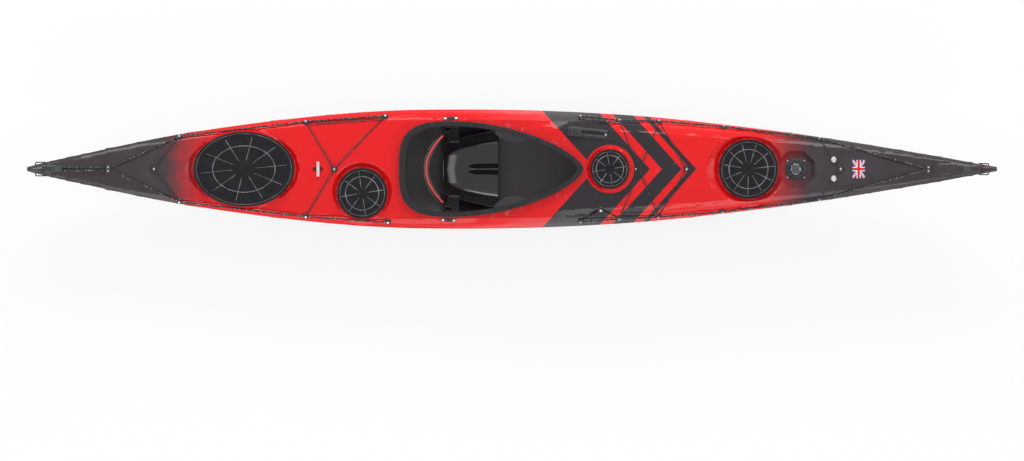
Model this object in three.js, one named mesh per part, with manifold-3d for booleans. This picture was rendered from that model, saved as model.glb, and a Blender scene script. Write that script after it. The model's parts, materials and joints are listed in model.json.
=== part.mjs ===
// Sea kayak: moulded hull and deck, four hatches, cockpit, drop skeg and deck rigging.
// Millimetres. +X is the bow, +Y is port, +Z is up. The origin is on the flat of the keel, amidships.

import * as THREE from 'three';
import { mergeVertices } from 'three/addons/utils/BufferGeometryUtils.js';
import Module from 'manifold-3d';

const wasm = await Module();
wasm.setup();

// Overall size
const HULL_LENGTH = 4926;
const BEAM = 606;
const BOW_HEIGHT = 389;
const HALF_BEAM = BEAM / 2;

// Gaps and cuts
const GAP = 0.3;
const SEAT_GAP = 0.45;
const OVERRUN = 60;
const WELD_SHARE = 0.001;
const ROUND_SEGMENTS = 16;
const BORE_SEGMENTS = 12;
const CORNER_SEGMENTS = 3;

// Mouldings
const HULL_WALL = 4;
const DECK_WALL = 4;
const BAND_HEIGHT = 28;
const BAND_WALL = 4;
const DECK_EDGE = 3;
const GUNWALE_TUCK = 12;
const KEEL_STRIP_HALF = 40;
const CHINE_WEIGHT = 1.7;

// Heights are shares of the bow height, against the share of the length from the stern
const KEEL_SHARES = [
  [0, 0.684], [0.0323, 0.183], [0.037, 0.174], [0.061, 0.154], [0.117, 0.12], [0.157, 0.077],
  [0.2, 0.067], [0.25, 0.059], [0.3, 0.049], [0.35, 0.033], [0.38, 0.0195], [0.43, 0],
  [0.57, 0], [0.61, 0.0145], [0.66, 0.028], [0.7, 0.044], [0.75, 0.062], [0.8, 0.09],
  [0.85, 0.126], [0.9, 0.167], [0.914, 0.187], [0.931, 0.244], [0.9425, 0.294], [0.9535, 0.378],
  [0.965, 0.479], [0.984, 0.689], [0.995, 0.815], [1, 0.882],
];
const SEAM_SHARES = [
  [0, 0.707], [0.05, 0.586], [0.1, 0.4936], [0.15, 0.4447], [0.2, 0.4216], [0.25, 0.397],
  [0.3, 0.3856], [0.4, 0.3753], [0.45, 0.3753], [0.5, 0.3805], [0.55, 0.3907], [0.6, 0.4087],
  [0.65, 0.4293], [0.7, 0.455], [0.75, 0.4884], [0.8, 0.5296], [0.85, 0.5925], [0.9, 0.6735],
  [0.95, 0.7725], [1, 0.8946],
];
const RIDGE_SHARES = [
  [0, 0.833], [0.02, 0.787], [0.05, 0.735], [0.1, 0.668], [0.15, 0.643], [0.2, 0.632],
  [0.3, 0.62], [0.39, 0.607], [0.42, 0.607], [0.45, 0.627], [0.48, 0.694], [0.51, 0.774],
  [0.54, 0.838], [0.57, 0.877], [0.6, 0.866], [0.65, 0.851], [0.7, 0.828], [0.75, 0.797],
  [0.8, 0.792], [0.85, 0.833], [0.9, 0.879], [0.95, 0.943], [0.98, 0.987], [1, 0.997],
];
// Half-breadths are shares of the half-beam
const BREADTH_SHARES = [
  [0, 0.035], [0.025, 0.135], [0.05, 0.222], [0.1, 0.403], [0.15, 0.565], [0.2, 0.693],
  [0.25, 0.803], [0.3, 0.893], [0.35, 0.96], [0.4, 0.995], [0.45, 1], [0.5, 0.993],
  [0.55, 0.967], [0.6, 0.925], [0.65, 0.867], [0.7, 0.78], [0.75, 0.685], [0.8, 0.578],
  [0.85, 0.455], [0.9, 0.32], [0.95, 0.182], [0.98, 0.09], [1, 0.035],
];
const BAND_SHARES = [[0, 1], [0.7, 1], [0.9, 1.15], [1, 1.2]];
const TUCK_SHARES = [[0, 0.05], [0.2, 0.6], [0.35, 1], [0.6, 1], [0.8, 0.5], [1, 0.05]];
const STRIP_SHARES = [
  [0, 0.1], [0.05, 0.27], [0.16, 0.3], [0.3, 0.7], [0.43, 1], [0.57, 1], [0.7, 0.6], [0.9, 0.12],
  [1, 0.08],
];
// The chine's breadth is a share of the seam's, and its height a share of the side's
const CHINE_BREADTH_SHARES = [
  [0, 0.7], [0.1, 0.72], [0.2, 0.8], [0.3, 0.88], [0.4, 0.92], [0.5, 0.93], [0.6, 0.91], [0.7, 0.87],
  [0.8, 0.8], [0.9, 0.72], [1, 0.7],
];
const CHINE_HEIGHT_SHARES = [
  [0, 0.6], [0.1, 0.65], [0.138, 0.6], [0.236, 0.4], [0.32, 0.25], [0.4, 0.19], [0.5, 0.17],
  [0.56, 0.18], [0.68, 0.32], [0.755, 0.45], [0.817, 0.58], [0.9, 0.62], [1, 0.6],
];
// The deck is a shoulder line at a share of the half-breadth, a drop down to it and a flank below
const SHOULDER_SHARES = [
  [0, 0.5], [0.1, 0.5], [0.2, 0.6], [0.3, 0.7], [0.36, 0.74], [0.42, 0.84], [0.46, 0.855],
  [0.5, 0.8], [0.53, 0.7], [0.56, 0.545], [0.585, 0.42], [0.61, 0.366], [0.7, 0.385],
  [0.75, 0.43], [0.8, 0.48], [0.9, 0.5], [1, 0.5],
];
const SHOULDER_DROP_SHARES = [
  [0, 0.35], [0.1, 0.35], [0.2, 0.32], [0.3, 0.27], [0.4, 0.22], [0.46, 0.12], [0.5, 0.06],
  [0.56, 0.04], [0.75, 0.05], [0.82, 0.15], [0.9, 0.3], [1, 0.35],
];
const FLANK_POWERS = [
  [0, 1.8], [0.1, 2.6], [0.2, 3], [0.3, 2.9], [0.36, 2.2], [0.42, 1.6], [0.46, 1.5], [0.52, 2.4],
  [0.57, 3.4], [0.75, 3.3], [0.85, 3.2], [0.93, 2.4], [1, 1.8],
];
const STATION_SHARES = [
  0, 0.006, 0.014, 0.024, 0.0323, 0.04, 0.055, 0.08, 0.11, 0.15, 0.2, 0.25, 0.3, 0.34, 0.37,
  0.4, 0.43, 0.45, 0.465, 0.48, 0.495, 0.51, 0.525, 0.54, 0.555, 0.57, 0.585, 0.61, 0.65, 0.69,
  0.73, 0.77, 0.81, 0.85, 0.885, 0.914, 0.931, 0.9425, 0.9535, 0.965, 0.975, 0.985, 0.993, 1,
];
const HULL_CAVITY_SHARES = [0.045, 0.955];
const DECK_CAVITY_SHARES = [0.03, 0.97];
const BAND_CAVITY_SHARES = [0.035, 0.965];
const DECK_COLUMN_SHARES = [0, 0.3, 0.52, 0.7, 0.83, 0.93, 1];
const SIDE_STEPS = 5;

// Hatches: place of the centre, semi-axes of the lid, and how far the flat bed lies below the ridge
const HATCHES = {
  stern: { placeShare: 0.2236, acrossShare: 0, half: 258, halfWidth: 190, drop: 16, crown: 11 },
  day: { placeShare: 0.3455, acrossShare: -0.425, half: 129, halfWidth: 129, drop: 16, crown: 5 },
  pod: { coamingClear: 30, acrossShare: 0, half: 100, halfWidth: 100, drop: 3, crown: 4 },
  bow: { placeShare: 0.7438, acrossShare: 0, half: 151, halfWidth: 151, drop: 28, crown: 6 },
};
const BED_LEDGE = 10;
const BED_RAKE = 1.4;
const BED_PAD_RISE = 34;
const LID_SKIRT = 6;
const LID_TOP = 5;
const LID_LIFT = 1;
const LID_FIT = 0.5;
const LID_CLEAR = 0.6;
const LID_ROUND = 7;
const LID_HUB_SHARE = 0.3;
const NECK_WALL = 5;
const NECK_RISE = 17;
const NECK_DEPTH = 24;
const LID_SEGMENTS = 26;
const POD_DEPTH = 145;
const POD_WALL = 3;

// Compass
const COMPASS_PLACE_SHARE = 0.7927;
const COMPASS_BED_HALF = 74;
const COMPASS_BED_DROP = 31;
const COMPASS_BED_RAKE = 0.7;
const COMPASS_BED_SEGMENTS = 8;
const COMPASS_RADIUS = 54;
const COMPASS_HEIGHT = 17;
const COMPASS_BOWL_RADIUS = 34;
const COMPASS_BOWL_FLOOR = 4;
const COMPASS_DOME_WALL = 2;
const COMPASS_CARD_RADIUS = 25;
const COMPASS_CARD_HEIGHT = 4;
const COMPASS_PIN_RADIUS = 3;
const COMPASS_PIN_HEIGHT = 6;
const COMPASS_SEGMENTS = 16;

// Cockpit coaming, as an egg with a square stern and a slim bow
const COAMING_STERN_SHARE = 0.3832;
const COAMING_LENGTH = 942;
const COAMING_HALF_WIDTH = 244;
const COAMING_WIDEST_SHARE = 0.3;
const COAMING_LIP_END = 33;
const COAMING_LIP_SIDE = 26.5;
const COAMING_WALL = 5;
const COAMING_HEIGHT = 27;
const COAMING_DEPTH = 18;
const COAMING_LIP_THICKNESS = 7;
const COAMING_LIP_FALL = 3;
const EGG_STERN_POWER = 3.2;
const EGG_BOW_LENGTH_POWER = 1.8;
const EGG_BOW_WIDTH_POWER = 1.36;
const EGG_STEPS = 44;

// Seat
const SEAT_STERN_SHARE = 0.4288;
const SEAT_LENGTH = 281;
const SEAT_REAR_HALF = 119;
const SEAT_FRONT_HALF = 196;
const SEAT_WALL = 4;
const SEAT_PAN_HEIGHT = 34;
const SEAT_BACK_RISE = 62;
const SEAT_FRONT_RISE = 40;
const SEAT_SIDE_RISE = 92;
const SEAT_RIDGE_RISE = 20;
const SEAT_RIDGE_WIDTH_SHARE = 0.1;
const SEAT_ALONG = 7;
const SEAT_ACROSS = 12;

// Hip plates, which hang the seat from the coaming
const HIP_PLACE_SHARE = 0.4392;
const HIP_LENGTH = 66;
const HIP_WALL = 4;
const HIP_FOOT = 40;
const HIP_TOP_DROP = 6;

// Backband
const BAND_PAD_CENTRE_SHARE = 0.411;
const BAND_PAD_HALF_WIDTH = 176;
const BAND_PAD_SWEEP = 92;
const BAND_PAD_HEIGHT = 140;
const BAND_PAD_RISE = 22.9;
const BAND_PAD_THICKNESS = 26;
const BAND_PAD_STEPS = 18;
const BAND_PAD_SIDES = 12;
const BAND_PAD_END_HEIGHT_SHARE = 0.58;
const BAND_PAD_END_THICKNESS_SHARE = 0.4;
const STRAP_HEIGHT = 25;
const STRAP_WALL = 3;
const STRAP_TOP_SHARE = 0.36;
const STRAP_REACH = 52;

// Thigh braces
const THIGH_START_TURN_SHARE = 0.061;
const THIGH_END_TURN_SHARE = 0.106;
const THIGH_REACH = 44;
const THIGH_ROOT = 16;
const THIGH_WALL = 4;
const THIGH_DROOP = 12;
const THIGH_STEPS = 10;

// Foot rests
const RAIL_STERN_SHARE = 0.575;
const RAIL_LENGTH = 380;
const RAIL_HEIGHT = 24;
const RAIL_DEPTH = 14;
const RAIL_PLACE_HEIGHT = 112;
const RAIL_GROOVE = 6;
const RAIL_CLEAR = 0.9;
const PEDAL_WIDTH = 74;
const PEDAL_HEIGHT = 92;
const PEDAL_RISE = 16;
const PEDAL_WALL = 9;
const PEDAL_FOOT = 46;

// Bulkheads
const BULKHEAD_WALL = 5;
const BULKHEAD_PLACE_SHARES = { stern: 0.3122, day: 0.3778, bow: 0.6786 };

// Skeg
const SKEG_PIVOT_SHARE = 0.1371;
const SKEG_PIVOT_RISE = 17;
const SKEG_PIN_RADIUS = 4;
const SKEG_BLADE_LENGTH = 268;
const SKEG_BLADE_THICKNESS = 5;
const SKEG_ROOT_CHORD = 66;
const SKEG_TIP_CHORD = 40;
const SKEG_DOWN_DEGREES = 39;
const SKEG_BOX_HALF = 9;
const SKEG_BOX_WALL = 3;
const SKEG_BOX_HEIGHT = 106;
const SKEG_BOX_FORE = 34;
const SKEG_BOX_AFT = 300;

// Skeg control on the port side of the deck
const SLIDER_PLACE_SHARE = 0.5778;
const SLIDER_ACROSS_SHARE = 0.635;
const SLIDER_YAW_DEGREES = -5;
const SLIDER_LENGTH = 204;
const SLIDER_WIDTH = 50;
const SLIDER_DEPTH = 16;
const SLIDER_PROUD = 7;
const SLIDER_CORNER = 9;
const SLIDER_SLOT_WIDTH = 14;
const SLIDER_SLOT_DEPTH = 12;
const SLIDER_SLOT_MARGIN = 16;
const KNOB_LENGTH = 56;
const KNOB_RISE = 9;
const KNOB_BEVEL = 6;
const KNOB_STEM_WIDTH = 12;
const KNOB_STEM_DEPTH = 9;
const CABLE_RADIUS = 4;
const CABLE_STEPS = 32;

// Security bar in its moulded cup
const CUP_PLACE_SHARE = 0.3;
const CUP_LENGTH = 68;
const CUP_WIDTH = 32;
const CUP_DEPTH = 24;
const CUP_WALL = 4;
const CUP_SEGMENTS = 20;
const BAR_LENGTH = 74;
const BAR_WIDTH = 14;
const BAR_THICKNESS = 5;
const BAR_LEG = 6;

// Carrying toggles and their cords
const TOGGLE_LENGTH = 92;
const TOGGLE_WIDTH = 30;
const TOGGLE_HEIGHT = 30;
const TOGGLE_BEVEL = 3;
const TOGGLE_LIFT = 4;
const TOGGLE_EYE_INSET = 12;
const GRIP_OUTLINE_SHARES = [
  [0, 0], [0.5, 0], [0.88, 0], [0.98, 0.25], [1, 0.62], [0.9, 0.96], [0.7, 1], [0.45, 0.82], [0.2, 0.45],
  [0, 0.12],
];
const GRIP_BEVEL_SHARE = 0.14;
const TOGGLE_CORD_RADIUS = 3;
const TOGGLE_CORD_CLEAR = 3.5;
const TOGGLE_EYE_CLEAR = 0.9;
const TIP_HOLE_CLEAR = 0.6;
const CORD_RUN_SHARES = [0.04, 0.2, 0.5, 0.8, 0.96];
const TOGGLES = {
  stern: { holeShare: 0.0085, gripShare: 0.0177, towardTip: -1 },
  bow: { holeShare: 0.9915, gripShare: 0.9835, towardTip: 1 },
};

// Deck fittings and rigging
const FITTING_RADIUS = 15;
const FITTING_HEIGHT = 14;
const FITTING_SINK = 4;
const FITTING_SEGMENTS = 8;
const POST_HEIGHT = 24;
const LINE_RADIUS = 3.2;
const LINE_LIFT = 5;
const LINE_CLEARANCE = 3;
const LINE_BEND = 10;
const BUNGEE_RADIUS = 2.2;
const BUNGEE_LIFT = 5;
const BUNGEE_CLEARANCE = 1.6;
const RUN_SAMPLES = 23;
const ROPE_SIDES = 6;
const BEAD_RADIUS = 14;
const BEAD_SEGMENTS = 10;
const BEAD_RINGS = 6;

function paint(color, roughness, metalness = 0) {
  return new THREE.MeshStandardMaterial({ color, roughness, metalness });
}

const FINISH = {
  hull: paint(0x1d1c20, 0.35),
  band: paint(0xc22026, 0.3),
  deck: paint(0xd8161c, 0.22),
  rubber: paint(0x2b2a2e, 0.62),
  plastic: paint(0x232226, 0.45),
  gloss: paint(0x323034, 0.25),
  carbon: paint(0x3a3537, 0.4),
  fabric: paint(0x2c2729, 0.9),
  steel: paint(0xb9b9bb, 0.28, 1),
  cord: paint(0x1d1c1e, 0.8),
  bead: paint(0xc8c8cc, 0.4),
  glass: paint(0x8a9494, 0.08),
  blade: paint(0x19191b, 0.4),
};

const kayak = new THREE.Group();

// Curves through hand-chosen pairs, which never overshoot them
function curveThrough(pairs) {
  const rises = pairs.slice(1).map((pair, i) => (pair[1] - pairs[i][1]) / (pair[0] - pairs[i][0]));
  const slopes = pairs.map((pair, i) => {
    if (i === 0) return rises[0];
    if (i === pairs.length - 1) return rises[i - 1];
    const product = rises[i - 1] * rises[i];
    return product <= 0 ? 0 : 2 * product / (rises[i - 1] + rises[i]);
  });
  return (where) => {
    const last = pairs.length - 2;
    let i = 0;
    while (i < last && where > pairs[i + 1][0]) i += 1;
    const span = pairs[i + 1][0] - pairs[i][0];
    const t = THREE.MathUtils.clamp((where - pairs[i][0]) / span, 0, 1);
    const rest = 1 - t;
    return pairs[i][1] * rest * rest * (1 + 2 * t) + pairs[i + 1][1] * t * t * (3 - 2 * t)
      + slopes[i] * span * t * rest * rest - slopes[i + 1] * span * t * t * rest;
  };
}

const keelCurve = curveThrough(KEEL_SHARES);
const seamCurve = curveThrough(SEAM_SHARES);
const ridgeCurve = curveThrough(RIDGE_SHARES);
const breadthCurve = curveThrough(BREADTH_SHARES);
const bandCurve = curveThrough(BAND_SHARES);
const tuckCurve = curveThrough(TUCK_SHARES);
const stripCurve = curveThrough(STRIP_SHARES);
const chineBreadthCurve = curveThrough(CHINE_BREADTH_SHARES);
const chineHeightCurve = curveThrough(CHINE_HEIGHT_SHARES);
const shoulderCurve = curveThrough(SHOULDER_SHARES);
const dropCurve = curveThrough(SHOULDER_DROP_SHARES);
const flankCurve = curveThrough(FLANK_POWERS);

const alongOf = (share) => (share - 1 / 2) * HULL_LENGTH;
const shareOf = (x) => THREE.MathUtils.clamp(x / HULL_LENGTH + 1 / 2, 0, 1);

// The boat's lines at one place along it
function linesAt(share) {
  const half = HALF_BEAM * breadthCurve(share);
  const seam = BOW_HEIGHT * seamCurve(share);
  const gunwale = seam + BAND_HEIGHT * bandCurve(share);
  return {
    x: alongOf(share),
    half,
    seam,
    gunwale,
    seamHalf: half - GUNWALE_TUCK * tuckCurve(share),
    joint: (seam + gunwale) / 2,
    lean: GUNWALE_TUCK * tuckCurve(share) / (gunwale - seam),
    keel: BOW_HEIGHT * keelCurve(share),
    ridge: BOW_HEIGHT * ridgeCurve(share),
    strip: Math.min(KEEL_STRIP_HALF * stripCurve(share), half / 2),
  };
}

const smooth = (t) => THREE.MathUtils.smoothstep(t, 0, 1);

// Flat beds sunk into the deck, or raised from it, for the hatches and the compass
function bedFor(placeShare, acrossShare, half, halfWidth, drop, rake, segments) {
  const lines = linesAt(placeShare);
  return { x: lines.x, y: acrossShare * lines.half, z: lines.ridge - drop, half, halfWidth, rake, segments };
}

// The small hatch stands clear of the coaming's bow end; the others have places of their own
function hatchShare(hatch) {
  if (!hatch.coamingClear) return hatch.placeShare;
  const coamingBow = alongOf(COAMING_STERN_SHARE) + COAMING_LENGTH;
  return shareOf(coamingBow + hatch.coamingClear + hatch.half);
}

const beds = {};
for (const [name, h] of Object.entries(HATCHES)) {
  beds[name] = bedFor(hatchShare(h), h.acrossShare, h.half, h.halfWidth, h.drop, BED_RAKE, LID_SEGMENTS);
}
beds.compass = bedFor(
  COMPASS_PLACE_SHARE, 0, COMPASS_BED_HALF, COMPASS_BED_HALF, COMPASS_BED_DROP, COMPASS_BED_RAKE,
  COMPASS_BED_SEGMENTS,
);

// Height of the deck's outer face, before its beds
function deckHeight(x, y) {
  const share = shareOf(x);
  const lines = linesAt(share);
  const across = Math.min(Math.abs(y) / lines.half, 1);
  const shoulder = shoulderCurve(share);
  const drop = dropCurve(share);
  const inner = Math.min(across / shoulder, 1);
  const outer = Math.max((across - shoulder) / (1 - shoulder), 0);
  const crown = 1 - drop * inner * inner - (1 - drop) * Math.pow(outer, flankCurve(share));
  return lines.gunwale + (lines.ridge - lines.gunwale) * crown;
}

// Solids: closed meshes, and the joins and cuts between them
function closedMesh(points, faces) {
  const geometry = new THREE.BufferGeometry();
  geometry.setAttribute('position', new THREE.Float32BufferAttribute(points.flat(), 3));
  geometry.setIndex(faces.flat());
  return facingOut(geometry);
}

function facingOut(geometry) {
  const at = geometry.attributes.position;
  const index = geometry.index.array;
  const [a, b, c] = [new THREE.Vector3(), new THREE.Vector3(), new THREE.Vector3()];
  let volume = 0;
  for (let i = 0; i < index.length; i += 3) {
    a.fromBufferAttribute(at, index[i]);
    b.fromBufferAttribute(at, index[i + 1]);
    c.fromBufferAttribute(at, index[i + 2]);
    volume += a.dot(b.cross(c));
  }
  if (volume < 0) {
    for (let i = 0; i < index.length; i += 3) {
      [index[i], index[i + 1]] = [index[i + 1], index[i]];
    }
  }
  return geometry;
}

function welded(geometry) {
  const bare = geometry.clone();
  bare.deleteAttribute('normal');
  bare.deleteAttribute('uv');
  return mergeVertices(bare, GAP * WELD_SHARE);
}

function solid(geometry) {
  const bare = welded(geometry);
  return new wasm.Manifold(new wasm.Mesh({
    numProp: 3,
    vertProperties: new Float32Array(bare.attributes.position.array),
    triVerts: new Uint32Array(bare.index.array),
  }));
}

function geometryOf(manifold) {
  const mesh = manifold.getMesh();
  const geometry = new THREE.BufferGeometry();
  geometry.setAttribute('position', new THREE.BufferAttribute(new Float32Array(mesh.vertProperties), 3));
  geometry.setIndex(new THREE.BufferAttribute(new Uint32Array(mesh.triVerts), 1));
  return geometry;
}

function cut(base, ...tools) {
  return tools.reduce((left, tool) => left.subtract(tool), base);
}

function addPiece(name, shape, finish) {
  const geometry = shape instanceof wasm.Manifold ? geometryOf(shape) : shape;
  const mesh = new THREE.Mesh(geometry, finish);
  mesh.name = name;
  kayak.add(mesh);
  return mesh;
}

// Triangles over a closed ring, in strips between its two sides
function capFaces(start, count, turned) {
  const faces = [];
  for (let low = 0, high = count - 1; high - low > 1; low += 1, high -= 1) {
    faces.push([low, low + 1, high]);
    if (high - low > 2) faces.push([low + 1, high - 1, high]);
  }
  const placed = faces.map((face) => face.map((corner) => start + corner));
  return turned ? placed.map(([a, b, c]) => [a, c, b]) : placed;
}

// A solid through rings of points, with its two ends closed
function loft(rings) {
  const count = rings[0].length;
  const faces = [];
  for (let i = 0; i + 1 < rings.length; i += 1) {
    for (let j = 0; j < count; j += 1) {
      const k = (j + 1) % count;
      const [a, b, c, d] = [i * count + j, i * count + k, (i + 1) * count + k, (i + 1) * count + j];
      faces.push([a, b, c], [a, c, d]);
    }
  }
  const ends = [...capFaces(0, count, true), ...capFaces((rings.length - 1) * count, count, false)];
  return closedMesh(rings.flat(), [...faces, ...ends]);
}

// A solid through rings of points that run round in a loop
function loopLoft(rings) {
  const count = rings[0].length;
  const faces = [];
  rings.forEach((ring, i) => {
    const next = ((i + 1) % rings.length) * count;
    ring.forEach((point, j) => {
      const k = (j + 1) % count;
      faces.push([i * count + j, i * count + k, next + k], [i * count + j, next + k, next + j]);
    });
  });
  return closedMesh(rings.flat(), faces);
}

// A moulded sheet: a grid of points with a wall below it
function sheet(along, across, pointAt, wallAt) {
  const rings = [];
  for (let i = 0; i <= along; i += 1) {
    const top = [];
    const under = [];
    for (let j = 0; j <= across; j += 1) {
      const [x, y, z] = pointAt(i / along, j / across);
      top.push([x, y, z]);
      under.unshift([x, y, z - wallAt(i / along, j / across)]);
    }
    rings.push([...top, ...under]);
  }
  return loft(rings);
}

function prism(outline, low, high) {
  const shape = new THREE.Shape(outline.map(([x, y]) => new THREE.Vector2(x, y)));
  const geometry = new THREE.ExtrudeGeometry(shape, { depth: high - low, bevelEnabled: false });
  return geometry.translate(0, 0, low);
}

function boxAt(sizes, centre) {
  return new THREE.BoxGeometry(...sizes).translate(...centre);
}

function rod(radius, length, segments, centre, axis) {
  const geometry = new THREE.CylinderGeometry(radius, radius, length, segments);
  if (axis === 'x') geometry.rotateZ(Math.PI / 2);
  if (axis === 'z') geometry.rotateX(Math.PI / 2);
  return geometry.translate(...centre);
}

// A turned body about the z axis, stretched across for an oval one
function turned(profile, segments, widthRatio = 1) {
  const outline = profile.map(([radius, z]) => new THREE.Vector2(radius, z));
  const geometry = new THREE.LatheGeometry([...outline, outline[0]], segments);
  geometry.rotateX(Math.PI / 2).scale(1, widthRatio, 1);
  return facingOut(welded(geometry));
}

// A cord of even thickness through a list of points
function cord(points, radius, closed = false) {
  const count = points.length;
  const rings = points.map((point, i) => {
    const before = points[closed ? (i + count - 1) % count : Math.max(i - 1, 0)];
    const after = points[closed ? (i + 1) % count : Math.min(i + 1, count - 1)];
    const ahead = after.clone().sub(before).normalize();
    const aside = new THREE.Vector3(0, 0, 1).cross(ahead).normalize();
    const up = ahead.clone().cross(aside);
    return Array.from({ length: ROPE_SIDES }, (unused, j) => {
      const turn = (j + 1 / 2) * 2 * Math.PI / ROPE_SIDES;
      const place = point.clone().addScaledVector(aside, radius * Math.cos(turn));
      return place.addScaledVector(up, radius * Math.sin(turn)).toArray();
    });
  });
  return closed ? loopLoft(rings) : loft(rings);
}

// Hull moulding
function hullSection(share, inset, pastSeam) {
  const lines = linesAt(share);
  const keel = lines.keel + inset;
  const top = lines.seam - GAP / 2;
  const seamHalf = lines.seamHalf - inset;
  const strip = Math.min(lines.strip, seamHalf / 2);
  const chine = [
    Math.max(seamHalf * chineBreadthCurve(share), strip), keel + (top - keel) * chineHeightCurve(share),
  ];
  const side = [[strip, keel]];
  for (let i = 1; i <= SIDE_STEPS; i += 1) {
    const t = i / SIDE_STEPS;
    const weights = [(1 - t) * (1 - t), 2 * CHINE_WEIGHT * t * (1 - t), t * t];
    const total = weights[0] + weights[1] + weights[2];
    side.push([
      (weights[0] * strip + weights[1] * chine[0] + weights[2] * seamHalf) / total,
      (weights[0] * keel + weights[1] * chine[1] + weights[2] * top) / total,
    ]);
  }
  if (pastSeam) side.push([seamHalf + lines.lean * (lines.joint - lines.seam), lines.joint + GAP]);
  const starboard = side.map(([y, z]) => [lines.x, -y, z]);
  return [...side.map(([y, z]) => [lines.x, y, z]).reverse(), ...starboard];
}

function between(limits) {
  return [limits[0], ...STATION_SHARES.filter((share) => share > limits[0] && share < limits[1]), limits[1]];
}

// The band that joins hull and deck, from the seam up to the deck's edge
function bandSlab(shares, inset, pad) {
  return solid(loft(shares.map((share) => {
    const lines = linesAt(share);
    const low = lines.seam + GAP / 2 - pad;
    const high = lines.gunwale - DECK_EDGE - GAP / 2 + pad;
    const lowHalf = lines.seamHalf + lines.lean * (low - lines.seam) - inset;
    const highHalf = lines.seamHalf + lines.lean * (high - lines.seam) - inset;
    return [
      [lines.x, lowHalf, low], [lines.x, highHalf, high],
      [lines.x, -highHalf, high], [lines.x, -lowHalf, low],
    ];
  })));
}

function seamBand() {
  return bandSlab(STATION_SHARES, 0, 0).subtract(bandSlab(between(BAND_CAVITY_SHARES), BAND_WALL, GAP));
}

function hullBody() {
  return solid(loft(STATION_SHARES.map((share) => hullSection(share, 0, false))));
}

function hullCavity(inset) {
  return solid(loft(between(HULL_CAVITY_SHARES).map((share) => hullSection(share, inset, true))));
}

// Deck moulding
function deckSection(share, wall, low) {
  const lines = linesAt(share);
  const half = lines.half - wall * (1 + lines.lean);
  const lowHalf = lines.half - wall - lines.lean * (lines.gunwale - low);
  const columns = [...DECK_COLUMN_SHARES.slice(1).reverse().map((column) => -column), ...DECK_COLUMN_SHARES];
  const top = columns.map((column) => [
    lines.x, column * half, Math.max(deckHeight(lines.x, column * lines.half) - wall, low + GAP),
  ]);
  return [[lines.x, -lowHalf, low], ...top, [lines.x, lowHalf, low]];
}

// Cones that open upwards over a bed, or spread downwards under it
function bedCone(bed, drop, rise) {
  const ledge = bed.half + BED_LEDGE;
  const spread = ledge + OVERRUN * bed.rake;
  const geometry = turned([[0, 0], [ledge, 0], [spread, rise * OVERRUN], [0, rise * OVERRUN]], bed.segments);
  geometry.rotateZ(Math.PI / bed.segments).scale(1, bed.halfWidth / bed.half, 1);
  return solid(geometry.translate(bed.x, bed.y, bed.z - drop));
}

// Pads are solid: a hollow one would come out of the flank below its own foot
function raiseBeds(skin) {
  const bound = skin.translate([0, 0, BED_PAD_RISE]);
  return Object.values(beds).reduce((shape, bed) => shape.add(bedCone(bed, 0, -1).intersect(bound)), skin);
}

function sinkBeds(skin, drop) {
  return Object.values(beds).reduce((shape, bed) => shape.subtract(bedCone(bed, drop, 1)), skin);
}

function deckOuter() {
  const edgeAt = (share) => linesAt(share).gunwale - DECK_EDGE + GAP / 2;
  const rings = STATION_SHARES.map((share) => deckSection(share, 0, edgeAt(share)));
  return sinkBeds(raiseBeds(solid(loft(rings))), 0);
}

function deckCavity(wall) {
  const lowAt = (share) => linesAt(share).joint - GAP;
  const rings = between(DECK_CAVITY_SHARES).map((share) => deckSection(share, wall, lowAt(share)));
  return sinkBeds(solid(loft(rings)), wall);
}

const deckSkin = deckOuter();
const hullHollow = hullCavity(HULL_WALL);
const deckHollow = deckCavity(DECK_WALL);
// Everything under this surface is deck, so what sits on the deck is cut by it
const deckCutter = solid(geometryOf(deckSkin).translate(0, 0, SEAT_GAP));

// Height of the faceted deck under a point
const bothSides = new THREE.MeshBasicMaterial({ side: THREE.DoubleSide });
const deckTarget = new THREE.Mesh(geometryOf(deckSkin), bothSides);
const ray = new THREE.Raycaster();
function deckTop(x, y) {
  ray.set(new THREE.Vector3(x, y, BOW_HEIGHT * 2), new THREE.Vector3(0, 0, -1));
  const hit = ray.intersectObject(deckTarget)[0];
  return hit ? hit.point.z : deckHeight(x, y);
}

function deckPoint(placeShare, acrossShare, lift = 0) {
  const lines = linesAt(placeShare);
  const y = acrossShare * lines.half;
  return new THREE.Vector3(lines.x, y, deckTop(lines.x, y) + lift);
}

// Axes that lie on the deck at a point, the first turned by a yaw from the bow
function deckFrame(placeShare, acrossShare, yaw, reach) {
  const origin = deckPoint(placeShare, acrossShare);
  const slope = (dx, dy) => {
    const rise = deckTop(origin.x + dx, origin.y + dy) - deckTop(origin.x - dx, origin.y - dy);
    return rise / (2 * reach);
  };
  const up = new THREE.Vector3(-slope(reach, 0), -slope(0, reach), 1).normalize();
  const ahead = new THREE.Vector3(Math.cos(yaw), Math.sin(yaw), 0);
  ahead.addScaledVector(up, -ahead.dot(up)).normalize();
  const aside = new THREE.Vector3().crossVectors(up, ahead);
  return new THREE.Matrix4().makeBasis(ahead, aside, up).setPosition(origin);
}

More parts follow.
